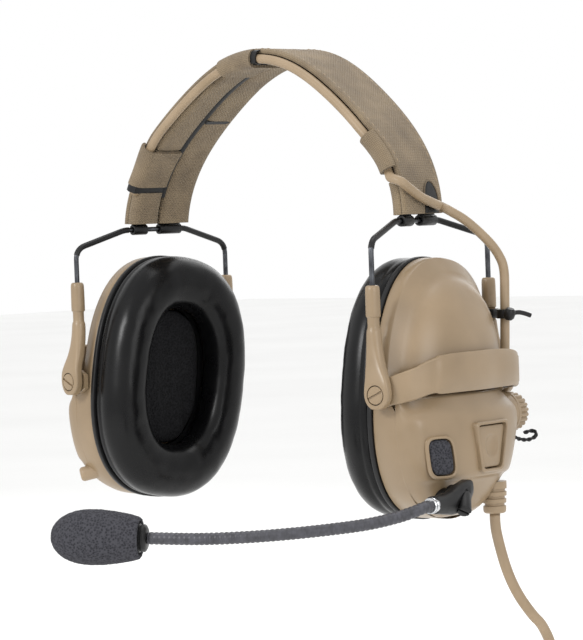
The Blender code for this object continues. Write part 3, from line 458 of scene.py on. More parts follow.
def band_point(phi, y, height):
    """A point of the band from an angle, a place across it and a height above the head."""
    radius = 77.0 + 3.7 * math.cos(2 * phi) + 3.0 * math.cos(4 * phi)
    slope = -7.4 * math.sin(2 * phi) - 12.0 * math.sin(4 * phi)
    tangent = Vector((
        slope * math.cos(phi) - radius * math.sin(phi), slope * math.sin(phi) + radius * math.cos(phi)
    )).normalized()
    x = radius * math.cos(phi) + tangent.y * (height - 7.5)
    z = -68.8 + radius * math.sin(phi) - tangent.x * (height - 7.5)
    return Vector((x * (1 - 0.0021 * y), y + 0.071 * z, z)) * MM


def front_edge(phi):
    """The y of the band's front edge, which draws in towards both ends."""
    t = min(1.0, max(0.0, (min(phi, math.pi - phi) - math.radians(18)) / math.radians(17)))
    return -(13.4 + 3.3 * t * t * (3 - 2 * t))


def place(side, u, v, z):
    """A metre point of a cup's frame."""
    x0, y0, span, toe = YOKE
    sign = -1 if side == "left" else 1
    return Vector((
        x0 + sign * (span + u * math.cos(toe) - v * math.sin(toe)),
        y0 + u * math.sin(toe) + v * math.cos(toe), PIVOT_Z[side] + z,
    )) * MM


def heading(side, u, v, z):
    """A direction of a cup's frame."""
    return (place(side, u, v, z) - place(side, 0, 0, 0)).normalized()


def superellipse(b, c, count, power=OVAL_POWER):
    points = []
    for i in range(count):
        cos, sin = math.cos(2 * math.pi * i / count), math.sin(2 * math.pi * i / count)
        points.append((
            b * math.copysign(abs(cos) ** (2 / power), cos), c * math.copysign(abs(sin) ** (2 / power), sin)
        ))
    return points


def cup_oval(b, c, count):
    """The cups' oval outline, which leans to the rear at its top."""
    cos, sin = math.cos(LEAN), math.sin(LEAN)
    return [(SHIFT + v * cos + z * sin, z * cos - v * sin) for v, z in superellipse(b, c, count)]


def cup_edges(z):
    """Front and rear v of the cup's oval at a height."""
    oval = cup_oval(37.4, 54.0, 360)
    found = [
        v0 + (v1 - v0) * (z - z0) / (z1 - z0)
        for (v0, z0), (v1, z1) in zip(oval, oval[1:] + oval[:1]) if (z0 - z) * (z1 - z) <= 0 and z0 != z1
    ]
    return min(found), max(found)


def blend_up(z, low, high):
    t = min(1.0, max(0.0, (z - low) / (high - low)))
    return t * t * (3 - 2 * t)


def dome_rise(rho, z):
    """Outer height of a cup's shell."""
    dome = 22.0 * math.sqrt(max(0.0, 1 - (rho / 0.905) ** 2.6))
    upper = max(dome, 2.5 + 40 * (1 - rho) if rho > 0.88 else 0.0)
    return 4.0 + (upper - 4.0) * blend_up(z, 2, 8)


# Sizes a user would change


class HeadsetSizes(bpy.types.PropertyGroup):
    """Sizes of the headset's soft and turned details."""

    stitch: bpy.props.FloatProperty(
        name="Stitch length", description="Length of one stitch along the band", default=2.4 * MM,
        unit="LENGTH"
    )
    stitch_gap: bpy.props.FloatProperty(
        name="Stitch gap", description="Gap between two stitches", default=1.3 * MM, unit="LENGTH"
    )
    rib_pitch: bpy.props.FloatProperty(
        name="Boom rib pitch", description="Distance between the boom sleeve's ribs", default=2.0 * MM,
        unit="LENGTH",
    )
    cap_ribs: bpy.props.IntProperty(
        name="Cap ribs", description="Grip ribs round the battery cap", default=22, min=8, max=40
    )
    pad_crown: bpy.props.FloatProperty(
        name="Pad crown", description="How far the band's padding swells", default=0.5 * MM, unit="LENGTH"
    )


class StageSizes(bpy.types.PropertyGroup):
    """The floor and lights."""

    floor_gap: bpy.props.FloatProperty(
        name="Floor gap", description="Space under the lowest point", default=0.5 * MM, unit="LENGTH"
    )
    light: bpy.props.FloatProperty(
        name="Key light", description="Power of the main soft light", default=6.0, unit="POWER"
    )
    sky: bpy.props.FloatProperty(
        name="Sky", description="Strength of the even light from all round", default=1.0, min=0.0
    )


class Piece:
    """What every operator shares: it builds its pieces and reports that it finished."""

    bl_options = {"REGISTER", "UNDO"}

    def execute(self, context):
        self.build(context.scene.headset_sizes)
        return {"FINISHED"}


# Headband


def band_rings(section, start, end, step=2.0):
    """Rings along the band between two angles in degrees; section gives (y, height) there."""
    count = max(3, round(abs(end - start) * 1.31 / step))
    rings = []
    for i in range(count + 1):
        share = i / count
        phi = math.radians(start + (end - start) * share)
        rings.append([band_point(phi, y, h) for y, h in section(phi, share)])
    return rings


def band_stitches(name, line, start, end, sizes, look="tan_rubber"):
    """A row of raised stitches; line gives (y, height) of the seam at an angle."""
    bm = bmesh.new()
    phi = math.radians(start)
    while phi < math.radians(end):
        a, b = phi, phi + sizes.stitch / 0.078
        tops = [Vector(band_point(p, *line(p))) for p in (a, (a + b) / 2, b)]
        up = (band_point(a, line(a)[0], line(a)[1] + 1) - tops[0]).normalized()
        side = (tops[2] - tops[0]).cross(up).normalized()
        rows = []
        for point, wide, high in zip(tops, (0.12, 0.3, 0.12), (-0.05, 0.2, -0.05)):
            rows.append([
                bm.verts.new(point + side * wide * MM * c + up * (high * s + 0.0) * MM)
                for c, s in ((1, 0), (0.6, 1), (-0.6, 1), (-1, 0), (0, -0.6))
            ])
        for low, high in zip(rows, rows[1:]):
            for i in range(5):
                j = (i + 1) % 5
                bm.faces.new((low[i], low[j], high[j], high[i]))
        bm.faces.new(rows[0][::-1])
        bm.faces.new(rows[-1])
        phi = b + sizes.stitch_gap / 0.078
    return finish_piece(mesh_object(name, bm), look, "headband")


class HEADSET_OT_band_cover(Piece, bpy.types.Operator):
    """The cloth cover over the band, with its bound edges and two rows of stitching"""

    bl_idname = "headset.band_cover"
    bl_label = "Band cover"

    def build(self, sizes):
        def section(phi, share):
            edge, half = front_edge(phi), 16.7
            points = [
                (edge + 0.4, 5.2), (edge, 6.0), (edge + 0.15, 6.9), (edge + 0.8, 7.42), (edge + 2.0, 7.5),
            ]
            for k in range(1, 10):
                y = edge + 2.0 + (half - 2.0 - edge - 2.0) * k / 10
                lift = 0.06 * math.sin(k * 2.1 + phi * 9) + 0.05 * math.sin(phi * 31 + k)
                points.append((y, 7.42 + lift))
            points += [
                (half - 2.0, 7.5), (half - 0.8, 7.42), (half - 0.15, 6.9), (half, 6.0), (half - 0.4, 5.2),
            ]
            return points

        cover = loft("band_cover_cloth", band_rings(section, 1.5, 178.5), measure=True)
        finish_piece(cover, "tan_fabric", "headband", ["band_cover"], 50)
        for edge, line in (
            ("front", lambda p: (front_edge(p) + 2.6, 7.5)), ("rear", lambda p: (14.1, 7.5)),
        ):
            band_stitches(f"band_stitches_{edge}", line, 8 if edge == "rear" else 17, 172, sizes)
        # the dark slot at the right end, where the stiffener's rear roll leaves the cloth
        rings = []
        for k in range(15):
            angle = 1.6 + 9.2 * k / 14
            past = max(0.0, (angle - 5.2) / 5.62)
            half = 5.2 * math.sqrt(max(0.02, 1 - past ** 2)) - 0.05 * (angle - 1.6)
            row = [
                (-1.0, 7.1), (-1.0, 7.7), (-0.93, 7.82), (-0.5, 7.84), (0, 7.84), (0.5, 7.84),
                (0.93, 7.82), (1.0, 7.7), (1.0, 7.1),
            ]
            rings.append([band_point(math.radians(angle), 7.4 + half * y, h) for y, h in row])
        finish_piece(loft("band_slot_patch", rings), "black_plastic", "headband")
        # the edge of cloth turned round the slot
        edge = []
        for k in range(29):
            turn = math.pi * k / 28
            angle = math.radians(5.2 + 5.9 * math.sin(turn))
            edge.append(band_point(angle, 7.4 + 5.3 * math.cos(turn), 7.75))
        finish_piece(pipe("band_slot_hem", edge, 0.32, 8), "tan_fabric", "headband")


class HEADSET_OT_band_padding(Piece, bpy.types.Operator):
    """The padding under the band: a rear strip, two front strips and two folded ends"""

    bl_idname = "headset.band_padding"
    bl_label = "Band padding"

    def build(self, sizes):
        crown = sizes.pad_crown / MM

        def strip(low_y, high_y, top):
            def section(phi, share):
                near, far = low_y(phi), high_y(phi)
                ends = min(1.0, min(share, 1 - share) * 18)
                swell = crown * (0.4 + 0.6 * ends) * (1 + 0.25 * math.sin(phi * 14))
                points = []
                for k in range(13):
                    t = k / 12
                    y = near + (far - near) * t
                    round_off = 1 - abs(2 * t - 1) ** 6
                    points.append((y, 0.55 - swell * round_off + 0.6 * (1 - round_off)))
                return points + [(far, top), (near, top)]
            return section

        seam = -0.9
        rows = [
            ("band_pad_rear", lambda p: 0.9, lambda p: 16.6, 2.3, 1.5, 178.5),
            ("band_pad_right", lambda p: front_edge(p) + 2.1, lambda p: seam, 2.3, 30.2, 86),
            ("band_pad_left", lambda p: front_edge(p) + 2.1, lambda p: seam, 2.3, 106, 149.3),
        ]
        for node, near, far, top, start, end in rows:
            pad = loft(node + "_cloth", band_rings(strip(near, far, top), start, end), measure=True)
            finish_piece(pad, "tan_fabric", "headband", [node], 60)

        def folded(phi, share):
            edge = front_edge(phi)
            return [
                (edge + 1.0, 0.2), (edge + 3, 0.0), (edge + 7, -0.1), (seam - 0.6, 0.0), (seam, 0.5),
                (seam, 2.3), (edge + 1.1, 2.3), (edge + 1.1, 4.8), (edge + 0.4, 5.0), (edge - 0.1, 4.2),
                (edge - 0.2, 2.6), (edge + 0.2, 1.0),
            ]

        for node, start, end in (("band_end_pad_right", 1.5, 12.4), ("band_end_pad_left", 167.0, 178.5)):
            pad = loft(node + "_cloth", band_rings(folded, start, end), measure=True)
            finish_piece(pad, "tan_fabric", "headband", [node], 60)
        for name, start, end in (("right", 13.0, 86), ("left", 105.6, 169)):
            gap = loft(f"band_seam_lining_{name}", band_rings(lambda phi, share: [
                (-1.6, 1.0), (-0.9, 0.55), (0.9, 0.55), (1.5, 1.0), (1.5, 2.2), (-1.6, 2.2),
            ], start, end), measure=True)
            finish_piece(gap, "black_plastic", "headband")
        slit = loft("band_pad_slit", band_rings(lambda phi, share: [
            (0.9, 0.4), (0.9 + 0.4, -0.16), (14.6 - 2.2 * abs(2 * share - 1), -0.16),
            (15.0 - 2.2 * abs(2 * share - 1), 0.4),
        ], 134.5, 136.0, 0.4))
        finish_piece(slit, "black_plastic", "headband")
        core = from_node("band_stiffener", "band_core", 0.2)
        finish_piece(core, "black_plastic", "headband", ["band_core"])


class HEADSET_OT_cable_loops(Piece, bpy.types.Operator):
    """The three cloth loops that hold the cable to the band's front edge"""

    bl_idname = "headset.cable_loops"
    bl_label = "Cable loops"

    def build(self, sizes):
        def section(phi, share):
            edge, seam = front_edge(phi), -0.9
            ends = min(1.0, min(share, 1 - share) * 9)
            puff = 0.16 * (1 - ends)
            outer = [
                (edge - 0.3, 7.4), (edge - 1.6, 7.1), (edge - 2.8, 6.3), (edge - 3.7 - puff, 5.0),
                (edge - 4.0 - puff, 3.4), (edge - 3.8 - puff, 2.0), (edge - 3.1, 0.6), (edge - 2.0, -0.4),
                (edge - 0.6, -0.85), (edge + 3, -0.85), (edge + 8, -0.85), (seam, -0.75), (seam, 2.2),
            ]
            inner = [
                (edge + 2.0, 2.2), (edge + 2.0, 0.3), (edge - 0.6, 0.3), (edge - 2.2, 1.3),
                (edge - 2.8, 3.3), (edge - 2.0, 5.3), (edge - 0.3, 6.2),
            ]
            return outer + inner

        for node, start, end in (
            ("loop_left", 150, 164.6), ("loop_top", 90, 105.4), ("loop_right", 16.2, 29.4),
        ):
            loop = loft(node + "_cloth", band_rings(section, start, end, 1.2), measure=True)
            finish_piece(loop, "tan_fabric", "headband", [node], 50)
        # black elastic that shows beside the crown loop and the left loop
        for name, start, end in (("crown_loop_lining", 87.4, 89.8), ("left_loop_lining", 164.8, 167.2)):
            def lining(phi, share):
                edge = front_edge(phi)
                return [
                    (edge - 0.2, 6.9), (edge - 2.4, 6.2), (edge - 3.3, 3.6), (edge - 2.6, 0.9),
                    (edge + 1.0, 0.4), (edge + 6.0, 0.4), (-1.2, 0.4), (-1.2, 2.1), (edge + 2.0, 2.1),
                    (edge + 2.0, 0.9), (edge - 1.6, 1.4), (edge - 2.7, 3.4), (edge - 1.8, 5.7),
                    (edge - 0.2, 6.4),
                ]
            piece = loft(name, band_rings(lining, start, end, 0.8), measure=True)
            finish_piece(piece, "black_plastic", "headband")


# Wires and stems


def yoke_points(side):
    """The wire's points from its front tip over the bar to its rear tip."""
    phi = math.radians(1.5) if side == "right" else math.pi - math.radians(1.5)

    def bar(y):
        point = band_point(phi, y, 3.75)
        return Vector((point.x, point.y, WIRE_BAR_Z * MM))

    halves = []
    for end in (-1, 1):
        tip = place(side, 0, end * LEG, 0)
        tip.z = WIRE_TIP_Z * MM
        bend = Vector((tip.x, tip.y, WIRE_BEND_Z * MM))
        turn = bar(end * 16.1)
        path = [tip.lerp(bend, k / 8) for k in range(8)]
        for before, corner, after, radius in ((tip, bend, turn, 5.0), (bend, turn, bar(0), 2.2)):
            start = corner + (before - corner).normalized() * radius * MM
            stop = corner + (after - corner).normalized() * radius * MM
            for k in range(9):
                t = k / 8
                path.append(start * (1 - t) ** 2 + corner * 2 * t * (1 - t) + stop * t * t)
        halves.append(path)
    return halves[0], halves[1]


class HEADSET_OT_yoke_wires(Piece, bpy.types.Operator):
    """One spring wire at each end of the band, sleeved in black on its slopes"""

    bl_idname = "headset.yoke_wires"
    bl_label = "Yoke wires"

    def build(self, sizes):
        for side, _ in SIDES:
            front, rear = yoke_points(side)
            wire = pipe(f"yoke_wire_{side}_steel", front + rear[::-1], 1.1, 14)
            finish_piece(wire, "steel_wire", "headband", [f"yoke_wire_{side}"])
            for name, half in (("front", front), ("rear", rear)):
                slope = [point for point in half if point.z > SLEEVE_END_Z * MM]
                sleeve = pipe(f"wire_sleeve_{side}_{name}", slope, 1.32, 14)
                finish_piece(sleeve, "black_plastic", "headband")
            for name, _ in ENDS:
                node = f"wire_clip_{side}_{name}"
                finish_piece(from_node(node + "_roll", node, 0.15), "black_plastic", "headband", [node])


class HEADSET_OT_stems(Piece, bpy.types.Operator):
    """The four moulded stems that slide on the wires, with slotted pivot screws"""

    bl_idname = "headset.stems"
    bl_label = "Slider stems"

    def build(self, sizes):
        for side, _ in SIDES:
            for name, end in ENDS:
                body = f"{side}_stems"
                stem = loft(f"stem_{side}_{name}_moulded", self.rings(side, end))
                subdivide(stem, 1)
                seat = turned(
                    "seat", [(0, 0), (4.15, 0), (4.15, 4), (0, 4)],
                    place(side, 3, end * 46.1, 0), heading(side, 0, end, 0), 36,
                )
                carve(stem, seat)
                finish_piece(stem, "tan_plastic", body, [f"stem_{side}_{name}"], 40)
                head = [(0, 46.2), (3.4, 46.2), (3.75, 46.5), (3.75, 47.2), (3.45, 47.55), (0, 47.65)]
                screw = turned(
                    f"pivot_screw_{side}_{name}_head", [(r, h - 46.2) for r, h in head],
                    place(side, 3, end * 46.2, 0), heading(side, 0, end, 0), 36,
                )
                middle = place(side, 3, end * 47.4, 0)
                out = heading(side, 0, end, 0)
                tilt = math.radians(25)
                along = heading(side, math.cos(tilt), 0, math.sin(tilt))
                across = along.cross(out)
                corners = []
                for depth in (-0.55, 1.5):
                    corners.append([
                        middle + out * depth * MM + along * a * 4.4 * MM + across * b * 0.5 * MM
                        for a, b in ((-1, -1), (1, -1), (1, 1), (-1, 1))
                    ])
                carve(screw, loft("slot", corners))
                finish_piece(screw, "tan_plastic", body, [f"pivot_screw_{side}_{name}"], 30)
                ring = turned(
                    f"pivot_ring_{side}_{name}", [(3.82, 0), (4.12, 0), (4.12, 0.4), (3.82, 0.4)],
                    place(side, 3, end * 46.15, 0), heading(side, 0, end, 0), 36,
                )
                finish_piece(ring, "black_plastic", body)

    def rings(self, side, end):
        """Level sections from the top of a stem to the bottom of its pivot disc."""
        shift, half, top = 45.15 - LEG, 2.15, 44.5
        stations = [
            (top, 1.9, 1.9, 0), (top - 0.25, 2.6, 2.6, 0), (top - 0.9, 3.0, 3.0, 0), (top - 4, 3.05, 3.05, 0),
            (top - 12.3, 3.1, 3.1, 0), (top - 12.8, 3.05, 3.05, 0), (top - 13.1, 2.55, 2.55, 0),
            (top - 13.6, 2.5, 2.5, 0), (top - 17.3, 2.5, 2.5, 0), (top - 17.8, 2.6, 2.6, 0),
            (top - 18.2, 3.1, 3.0, 0), (top - 22, 3.3, 2.95, 0.03), (top - 26, 3.5, 2.9, 0.12),
            (top - 29.5, 3.85, 2.75, 0.26), (top - 33, 4.3, 2.6, 0.45), (top - 35.3, 4.8, 2.4, 0.66),
            (top - 37.5, 5.2, half, 0.85), (4.5, 5.75, half, 1.0), (2.0, 6.1, half, 1.0),
            (0.0, 6.2, half, 1.0), (-2.4, 5.72, half, 1.0), (-4.2, 4.56, half, 1.0),
            (-5.4, 3.05, half, 1.0), (-6.0, 1.6, half * 0.96, 1.0),
        ]
        made = []
        for z, wide, deep, kink in stations:
            oval = superellipse(wide, deep, 28, 2 + 3 * kink)
            made.append([
                place(side, 3.0 * kink + du, end * (LEG + shift * kink + dv), z) for du, dv in oval
            ])
        return made


# Cups


class HEADSET_OT_cup_shells(Piece, bpy.types.Operator):
    """The moulded shells and the electronics covers over their lower halves"""

    bl_idname = "headset.cup_shells"
    bl_label = "Cup shells"

    def build(self, sizes):
        for side, _ in SIDES:
            body = f"{side}_cup"
            shell = self.shell(side)
            cover = self.cover(side)
            if side == "right":
                self.cut_right(cover, shell)
            finish_piece(shell, "tan_plastic", body, [f"{side}_shell"], 60)
            finish_piece(cover, "tan_plastic", body, [f"{side}_module_cover"], 28)

    def shell(self, side):
        """The domed shell down to its rim."""
        count, wall = 96, 1 - 2.2 / 37.7

        def ring(rho, height):
            oval = cup_oval(37.7 * rho, 54.3 * rho, count)
            return [place(side, height(rho, z), v, z) for v, z in oval]

        def side_wall(rho, z):
            base = 2.5 + 5.5 * blend_up(-z, 2, 6)
            return base + (dome_rise(rho, z) - 2.5) * blend_up(z, 2, 8)

        flat = lambda value: (lambda rho, z: value)
        rings = [ring(0.96 * wall, flat(RIM + 6)), ring(wall, flat(RIM + 0.4)), ring(wall + 0.01, flat(RIM))]
        rings += [ring(0.992, flat(RIM)), ring(1.0, flat(RIM + 0.5)), ring(1.0, side_wall)]
        rings += [ring(r, dome_rise) for r in (
            0.992, 0.975, 0.955, 0.935, 0.91, 0.89, 0.86, 0.83, 0.79, 0.75, 0.69, 0.62, 0.54, 0.46, 0.38,
            0.3, 0.2, 0.1, 0.02,
        )]
        return loft(f"{side}_shell_dome", rings)

    def cover(self, side):
        """The boxy cover, its corners drawn round by subdivision."""
        seat = 9.4
        full = [
            (-1.0, seat - 3), (-1.0, seat - 1.6), (-1.0, seat), (-1.0, 11.5), (-0.985, 14.5),
            (-0.93, 17.2), (-0.89, 18.5), (-0.74, 20.8),
            (-0.545, 22.8), (-0.364, 24.3), (-0.092, 26.0), (0.125, 26.7), (0.397, 26.2), (0.614, 24.8),
            (0.777, 22.6), (0.86, 21.2), (0.90, 19.7), (0.97, 15.5), (1.0, 11.5), (1.0, seat),
            (1.0, seat - 1.6), (1.0, seat - 3),
        ]
        levels = [
            (-0.8, 0.0, 21.6), (-2.6, 0.15, 23.2), (-4.9, 0.4, 24.6), (-8.0, 0.75, 25.8), (-11.0, 1.0, 26.4),
            (-18.0, 1.0, 26.7), (-28.0, 1.0, 26.6), (-34.0, 1.0, 26.0), (-35.8, 1.0, 25.4), (-36.6, 1.0, 23.4),
            (-37.6, 1.0, 21.7), (-41.0, 1.0, 20.2), (-45.0, 1.0, 18.5), (-50.0, 1.0, 15.5),
            (-52.3, 1.0, 12.7), (-53.0, 1.0, 9.4),
        ]
        rings = []
        for z, share, depth in levels:
            front, rear = cup_edges(max(z, -52.6))
            middle, half = (front + rear) / 2, (rear - front) / 2
            row = []
            for at, u in full:
                boxy = seat + (u - seat) * (depth - seat) / 17.3 if u >= seat else u
                slim = max(min(u, seat), 21.6 * math.sqrt(max(0.0, 1 - abs(at) ** 2.6)))
                full_width = 1.0 if abs(at) == 1 else share
                wide = 0.9 + 0.1 * full_width
                flare = 1 + 0.016 * full_width
                out = boxy * share + slim * (1 - share)
                row.append(place(side, out, middle + at * half * wide * flare, z))
            rings.append(row)
        cover = loft(f"{side}_module_cover_moulded", rings, ends=True)
        return subdivide(cover, 2)

    def cut_right(self, cover, shell):
        """The microphone window, the button's recess, and room for the boss and the lead."""
        side = "right"
        carve(cover, prism("window", window(0.3, -7), window(0.3, 6)))
        carve(cover, prism("recess", keystone(0.5, 23.2), keystone(0.5, 33.0)))
        for tool in (
            turned("boss", [(0, 25.5), (9.6, 25.5), (9.6, 48), (0, 48)], place(side, 10.5, 0, -12.8),
                   heading(side, 0, 1, 0), 48),
            turned("lead", [(0, -25), (5.6, -25), (5.6, 0.4), (0, 0.4)], place(side, 14.4, 19.8, -40.6),
                   (0, 0, 1), 40),
        ):
            carve(cover, tool)
        carve(shell, turned(
            "boss", [(0, 25.5), (9.6, 25.5), (9.6, 48), (0, 48)], place(side, 10.5, 0, -12.8),
            heading(side, 0, 1, 0), 48,
        ))


def prism(name, low, high):
    return loft(name, [low, high])


def keystone(extra, u, count=6):
    """The button's rounded outline at a depth."""
    corners = [
        (-8.6 - extra, -15.4 + extra), (11.4 + extra, -15.4 + extra), (7.0 + extra * 0.8, -32.6 - extra),
        (-5.4 - extra * 0.8, -32.6 - extra),
    ]
    points = []
    for i, corner in enumerate(corners):
        here, before, after = Vector(corner), Vector(corners[i - 1]), Vector(corners[(i + 1) % 4])
        start = here + (before - here).normalized() * 2.2
        stop = here + (after - here).normalized() * 2.2
        last = after + (here - after).normalized() * 2.2
        for k in range(count + 1):
            t = k / count
            v, z = start * (1 - t) ** 2 + here * 2 * t * (1 - t) + stop * t * t
            points.append(place("right", u, v, z))
        for k in range(1, 8):
            v, z = stop.lerp(last, k / 8)
            points.append(place("right", u, v, z))
    return points


def window(extra, depth):
    """The outside microphone's rounded window on the cover's front bevel."""
    centre, out = Vector((21.9, -28.8, -26.3)), Vector((0.93, -0.36, 0.0)).normalized()
    across = Vector((-out.y, out.x, 0))
    points = []
    for v, z in superellipse(5.6 + extra, 7.3 + extra, 36, 4.0):
        point = centre + across * (v - 0.12 * z) + Vector((0, 0, z)) + out * depth
        points.append(place("right", *point))
    return points


class HEADSET_OT_straps(Piece, bpy.types.Operator):
    """The moulded straps that carry each cup's two pivots"""

    bl_idname = "headset.straps"
    bl_label = "Pivot straps"

    def build(self, sizes):
        # u, v, centre height, half height
        route = [
            (-2.8, -41.5, 0.0, 3.7), (0.2, -41.5, 0.0, 5.3), (3.0, -41.5, 0.0, 5.9), (7.5, -41.3, 1.6, 6.3),
            (11.6, -39.6, 2.8, 6.7), (15.4, -36.2, 4.2, 6.9), (19.2, -30.6, 6.6, 7.3), (22.2, -22.4, 7.4, 7.7),
            (23.9, -11.0, 7.6, 7.8), (24.2, 0.0, 7.6, 7.8), (23.5, 9.0, 7.6, 7.8), (22.9, 18.0, 7.4, 7.6),
            (21.6, 26.0, 6.9, 7.2), (18.9, 32.6, 5.6, 6.9), (14.1, 37.9, 3.6, 6.2), (8.5, 40.5, 2.2, 5.4),
            (3.0, 41.3, 0.6, 5.2), (-2.8, 41.3, 0.0, 3.7),
        ]
        count = 90
        fine = smooth_path([Vector(row[:3]) for row in route], count=count)
        for side, _ in SIDES:
            rings = []
            for i, point in enumerate(fine):
                ahead = fine[min(i + 1, count - 1)] - fine[max(i - 1, 0)]
                flat = Vector((ahead.x, ahead.y, 0)).normalized()
                out = Vector((flat.y, -flat.x, 0))
                # the half height lies between those of the two nearest rows
                near, other = sorted(route, key=lambda row: (Vector(row[:2]) - Vector(point[:2])).length)[:2]
                a, b = ((Vector(row[:2]) - Vector(point[:2])).length for row in (near, other))
                half = (near[3] * b + other[3] * a) / (a + b)
                raised = 0.5 * blend_up(point.y, -28.4, -27.6) * blend_up(-point.y, -31.5, -30.5)
                half += 1.4 * raised - 0.45
                ring = []
                for w, h in (
                    (-1.1, -half + 0.4), (-0.7, -half), (0.7, -half), (1.1, -half + 0.5),
                    (1.1 + raised * 0.2, -half + 1.4), (1.1 + raised, -half + 2.0), (1.15 + raised, 0.0),
                    (1.1 + raised, half - 2.0), (1.1 + raised * 0.2, half - 1.4), (1.1, half - 0.5),
                    (0.7, half), (-0.7, half), (-1.1, half - 0.4),
                ):
                    at = point + out * w
                    ring.append(place(side, at.x, at.y, point.z + h))
                rings.append(ring)
            strap = loft(f"{side}_strap_moulded", rings)
            finish_piece(strap, "tan_plastic", f"{side}_cup", [f"{side}_strap"], 35)


class HEADSET_OT_ear_seals(Piece, bpy.types.Operator):
    """The sealing cushions, their back plates, and the foam and cloth inside them"""

    bl_idname = "headset.ear_seals"
    bl_label = "Ear seals"

    def build(self, sizes):
        for side, _ in SIDES:
            body = f"{side}_cup"
            plate = loft(f"{side}_back_plate_rim", self.rings(side, [
                (-4.0, 19.8, 31.5), (-4.0, 37.6, 54.2), (-4.15, 38.1, 54.7), (-4.5, 38.3, 54.9),
                (-5.9, 38.3, 54.9), (-6.25, 38.1, 54.7), (-6.4, 37.6, 54.2), (-6.4, 19.8, 31.5),
            ]), ring=True)
            finish_piece(plate, "black_plastic", body, [f"{side}_back_plate"])
            cushion = self.cushion(side)
            finish_piece(cushion, "black_leather", body, [f"{side}_cushion"], None)
            liner = self.liner(side)
            finish_piece(liner, "dark_foam", body, [f"{side}_foam"], None)

    def rings(self, side, rows, count=96):
        return [[place(side, u, v, z) for v, z in cup_oval(b, c, count)] for u, b, c in rows]

    def cushion(self, side):
        """A crowned ring, pulled in at its seams and faintly creased towards its opening."""
        section = [
            (0.0, 34.0, 50.6), (0.0, 37.0, 53.6), (0.06, 37.5, 54.1), (0.16, 37.9, 54.5), (0.22, 37.3, 53.9),
            (0.28, 37.8, 54.5), (0.42, 37.95, 54.7), (0.55, 37.5, 54.1), (0.70, 36.5, 53.0), (0.82, 34.9, 51.1),
            (0.91, 33.1, 49.1), (0.97, 31.0, 46.8), (1.0, 28.6, 44.0), (1.0, 26.6, 41.6), (0.985, 24.7, 39.2),
            (0.94, 22.4, 36.4), (0.87, 20.9, 34.4), (0.76, 19.6, 32.6), (0.6, 18.9, 31.3), (0.35, 18.7, 30.8),
            (0.0, 19.4, 31.6),
        ]
        rings = []
        for share, b, c in section:
            rings.append((-6.7 - 18.6 * share, b, c))
        cushion = subdivide(loft(f"{side}_cushion_leather", self.rings(side, rings, 72), ring=True), 1)
        out = heading(side, 1, 0, 0)
        for vertex in cushion.data.vertices:
            spot = vertex.co / MM
            crease = noise.noise(spot * 0.16) * 0.35 + noise.noise(spot * 0.45) * 0.12
            vertex.co += out * crease * MM * 0.8
        return cushion

    def liner(self, side):
        """The thin cloth-faced foam that covers the speaker, gathered into soft folds."""
        rings = []
        for u, b, c in (
            (-6.4, 18.2, 30.2), (-8.2, 18.3, 30.3), (-9.0, 17.6, 29.5), (-9.5, 15.5, 27.0), (-9.7, 12, 22),
            (-9.8, 8, 15), (-9.85, 4, 7.5), (-9.85, 0.4, 0.8),
        ):
            rings.append((u, b, c))
        pad = loft(f"{side}_ear_foam", self.rings(side, rings, 72))
        subdivide(pad, 1)
        out = heading(side, 1, 0, 0)
        for vertex in pad.data.vertices:
            spot = vertex.co / MM
            vertex.co += out * MM * 0.45 * math.sin(spot.y * 0.62 + 0.8 * math.sin(spot.z * 0.08))
        return pad


class HEADSET_OT_left_port(Piece, bpy.types.Operator):
    """The small blanking plug low on the left cover"""

    bl_idname = "headset.left_port"
    bl_label = "Left port plug"

    def build(self, sizes):
        plug = turned("left_port_plug_moulded", [
            (0, -6), (3.3, -6), (3.3, 1.7), (3.0, 2.4), (2.4, 2.9), (0, 3.0),
        ], place("left", 11.0, -33.3, -42.5), heading("left", 0.5, -0.85, -0.2), 32)
        finish_piece(plug, "tan_rubber", "left_cup", ["left_port_plug"])


# The right cup's electronics


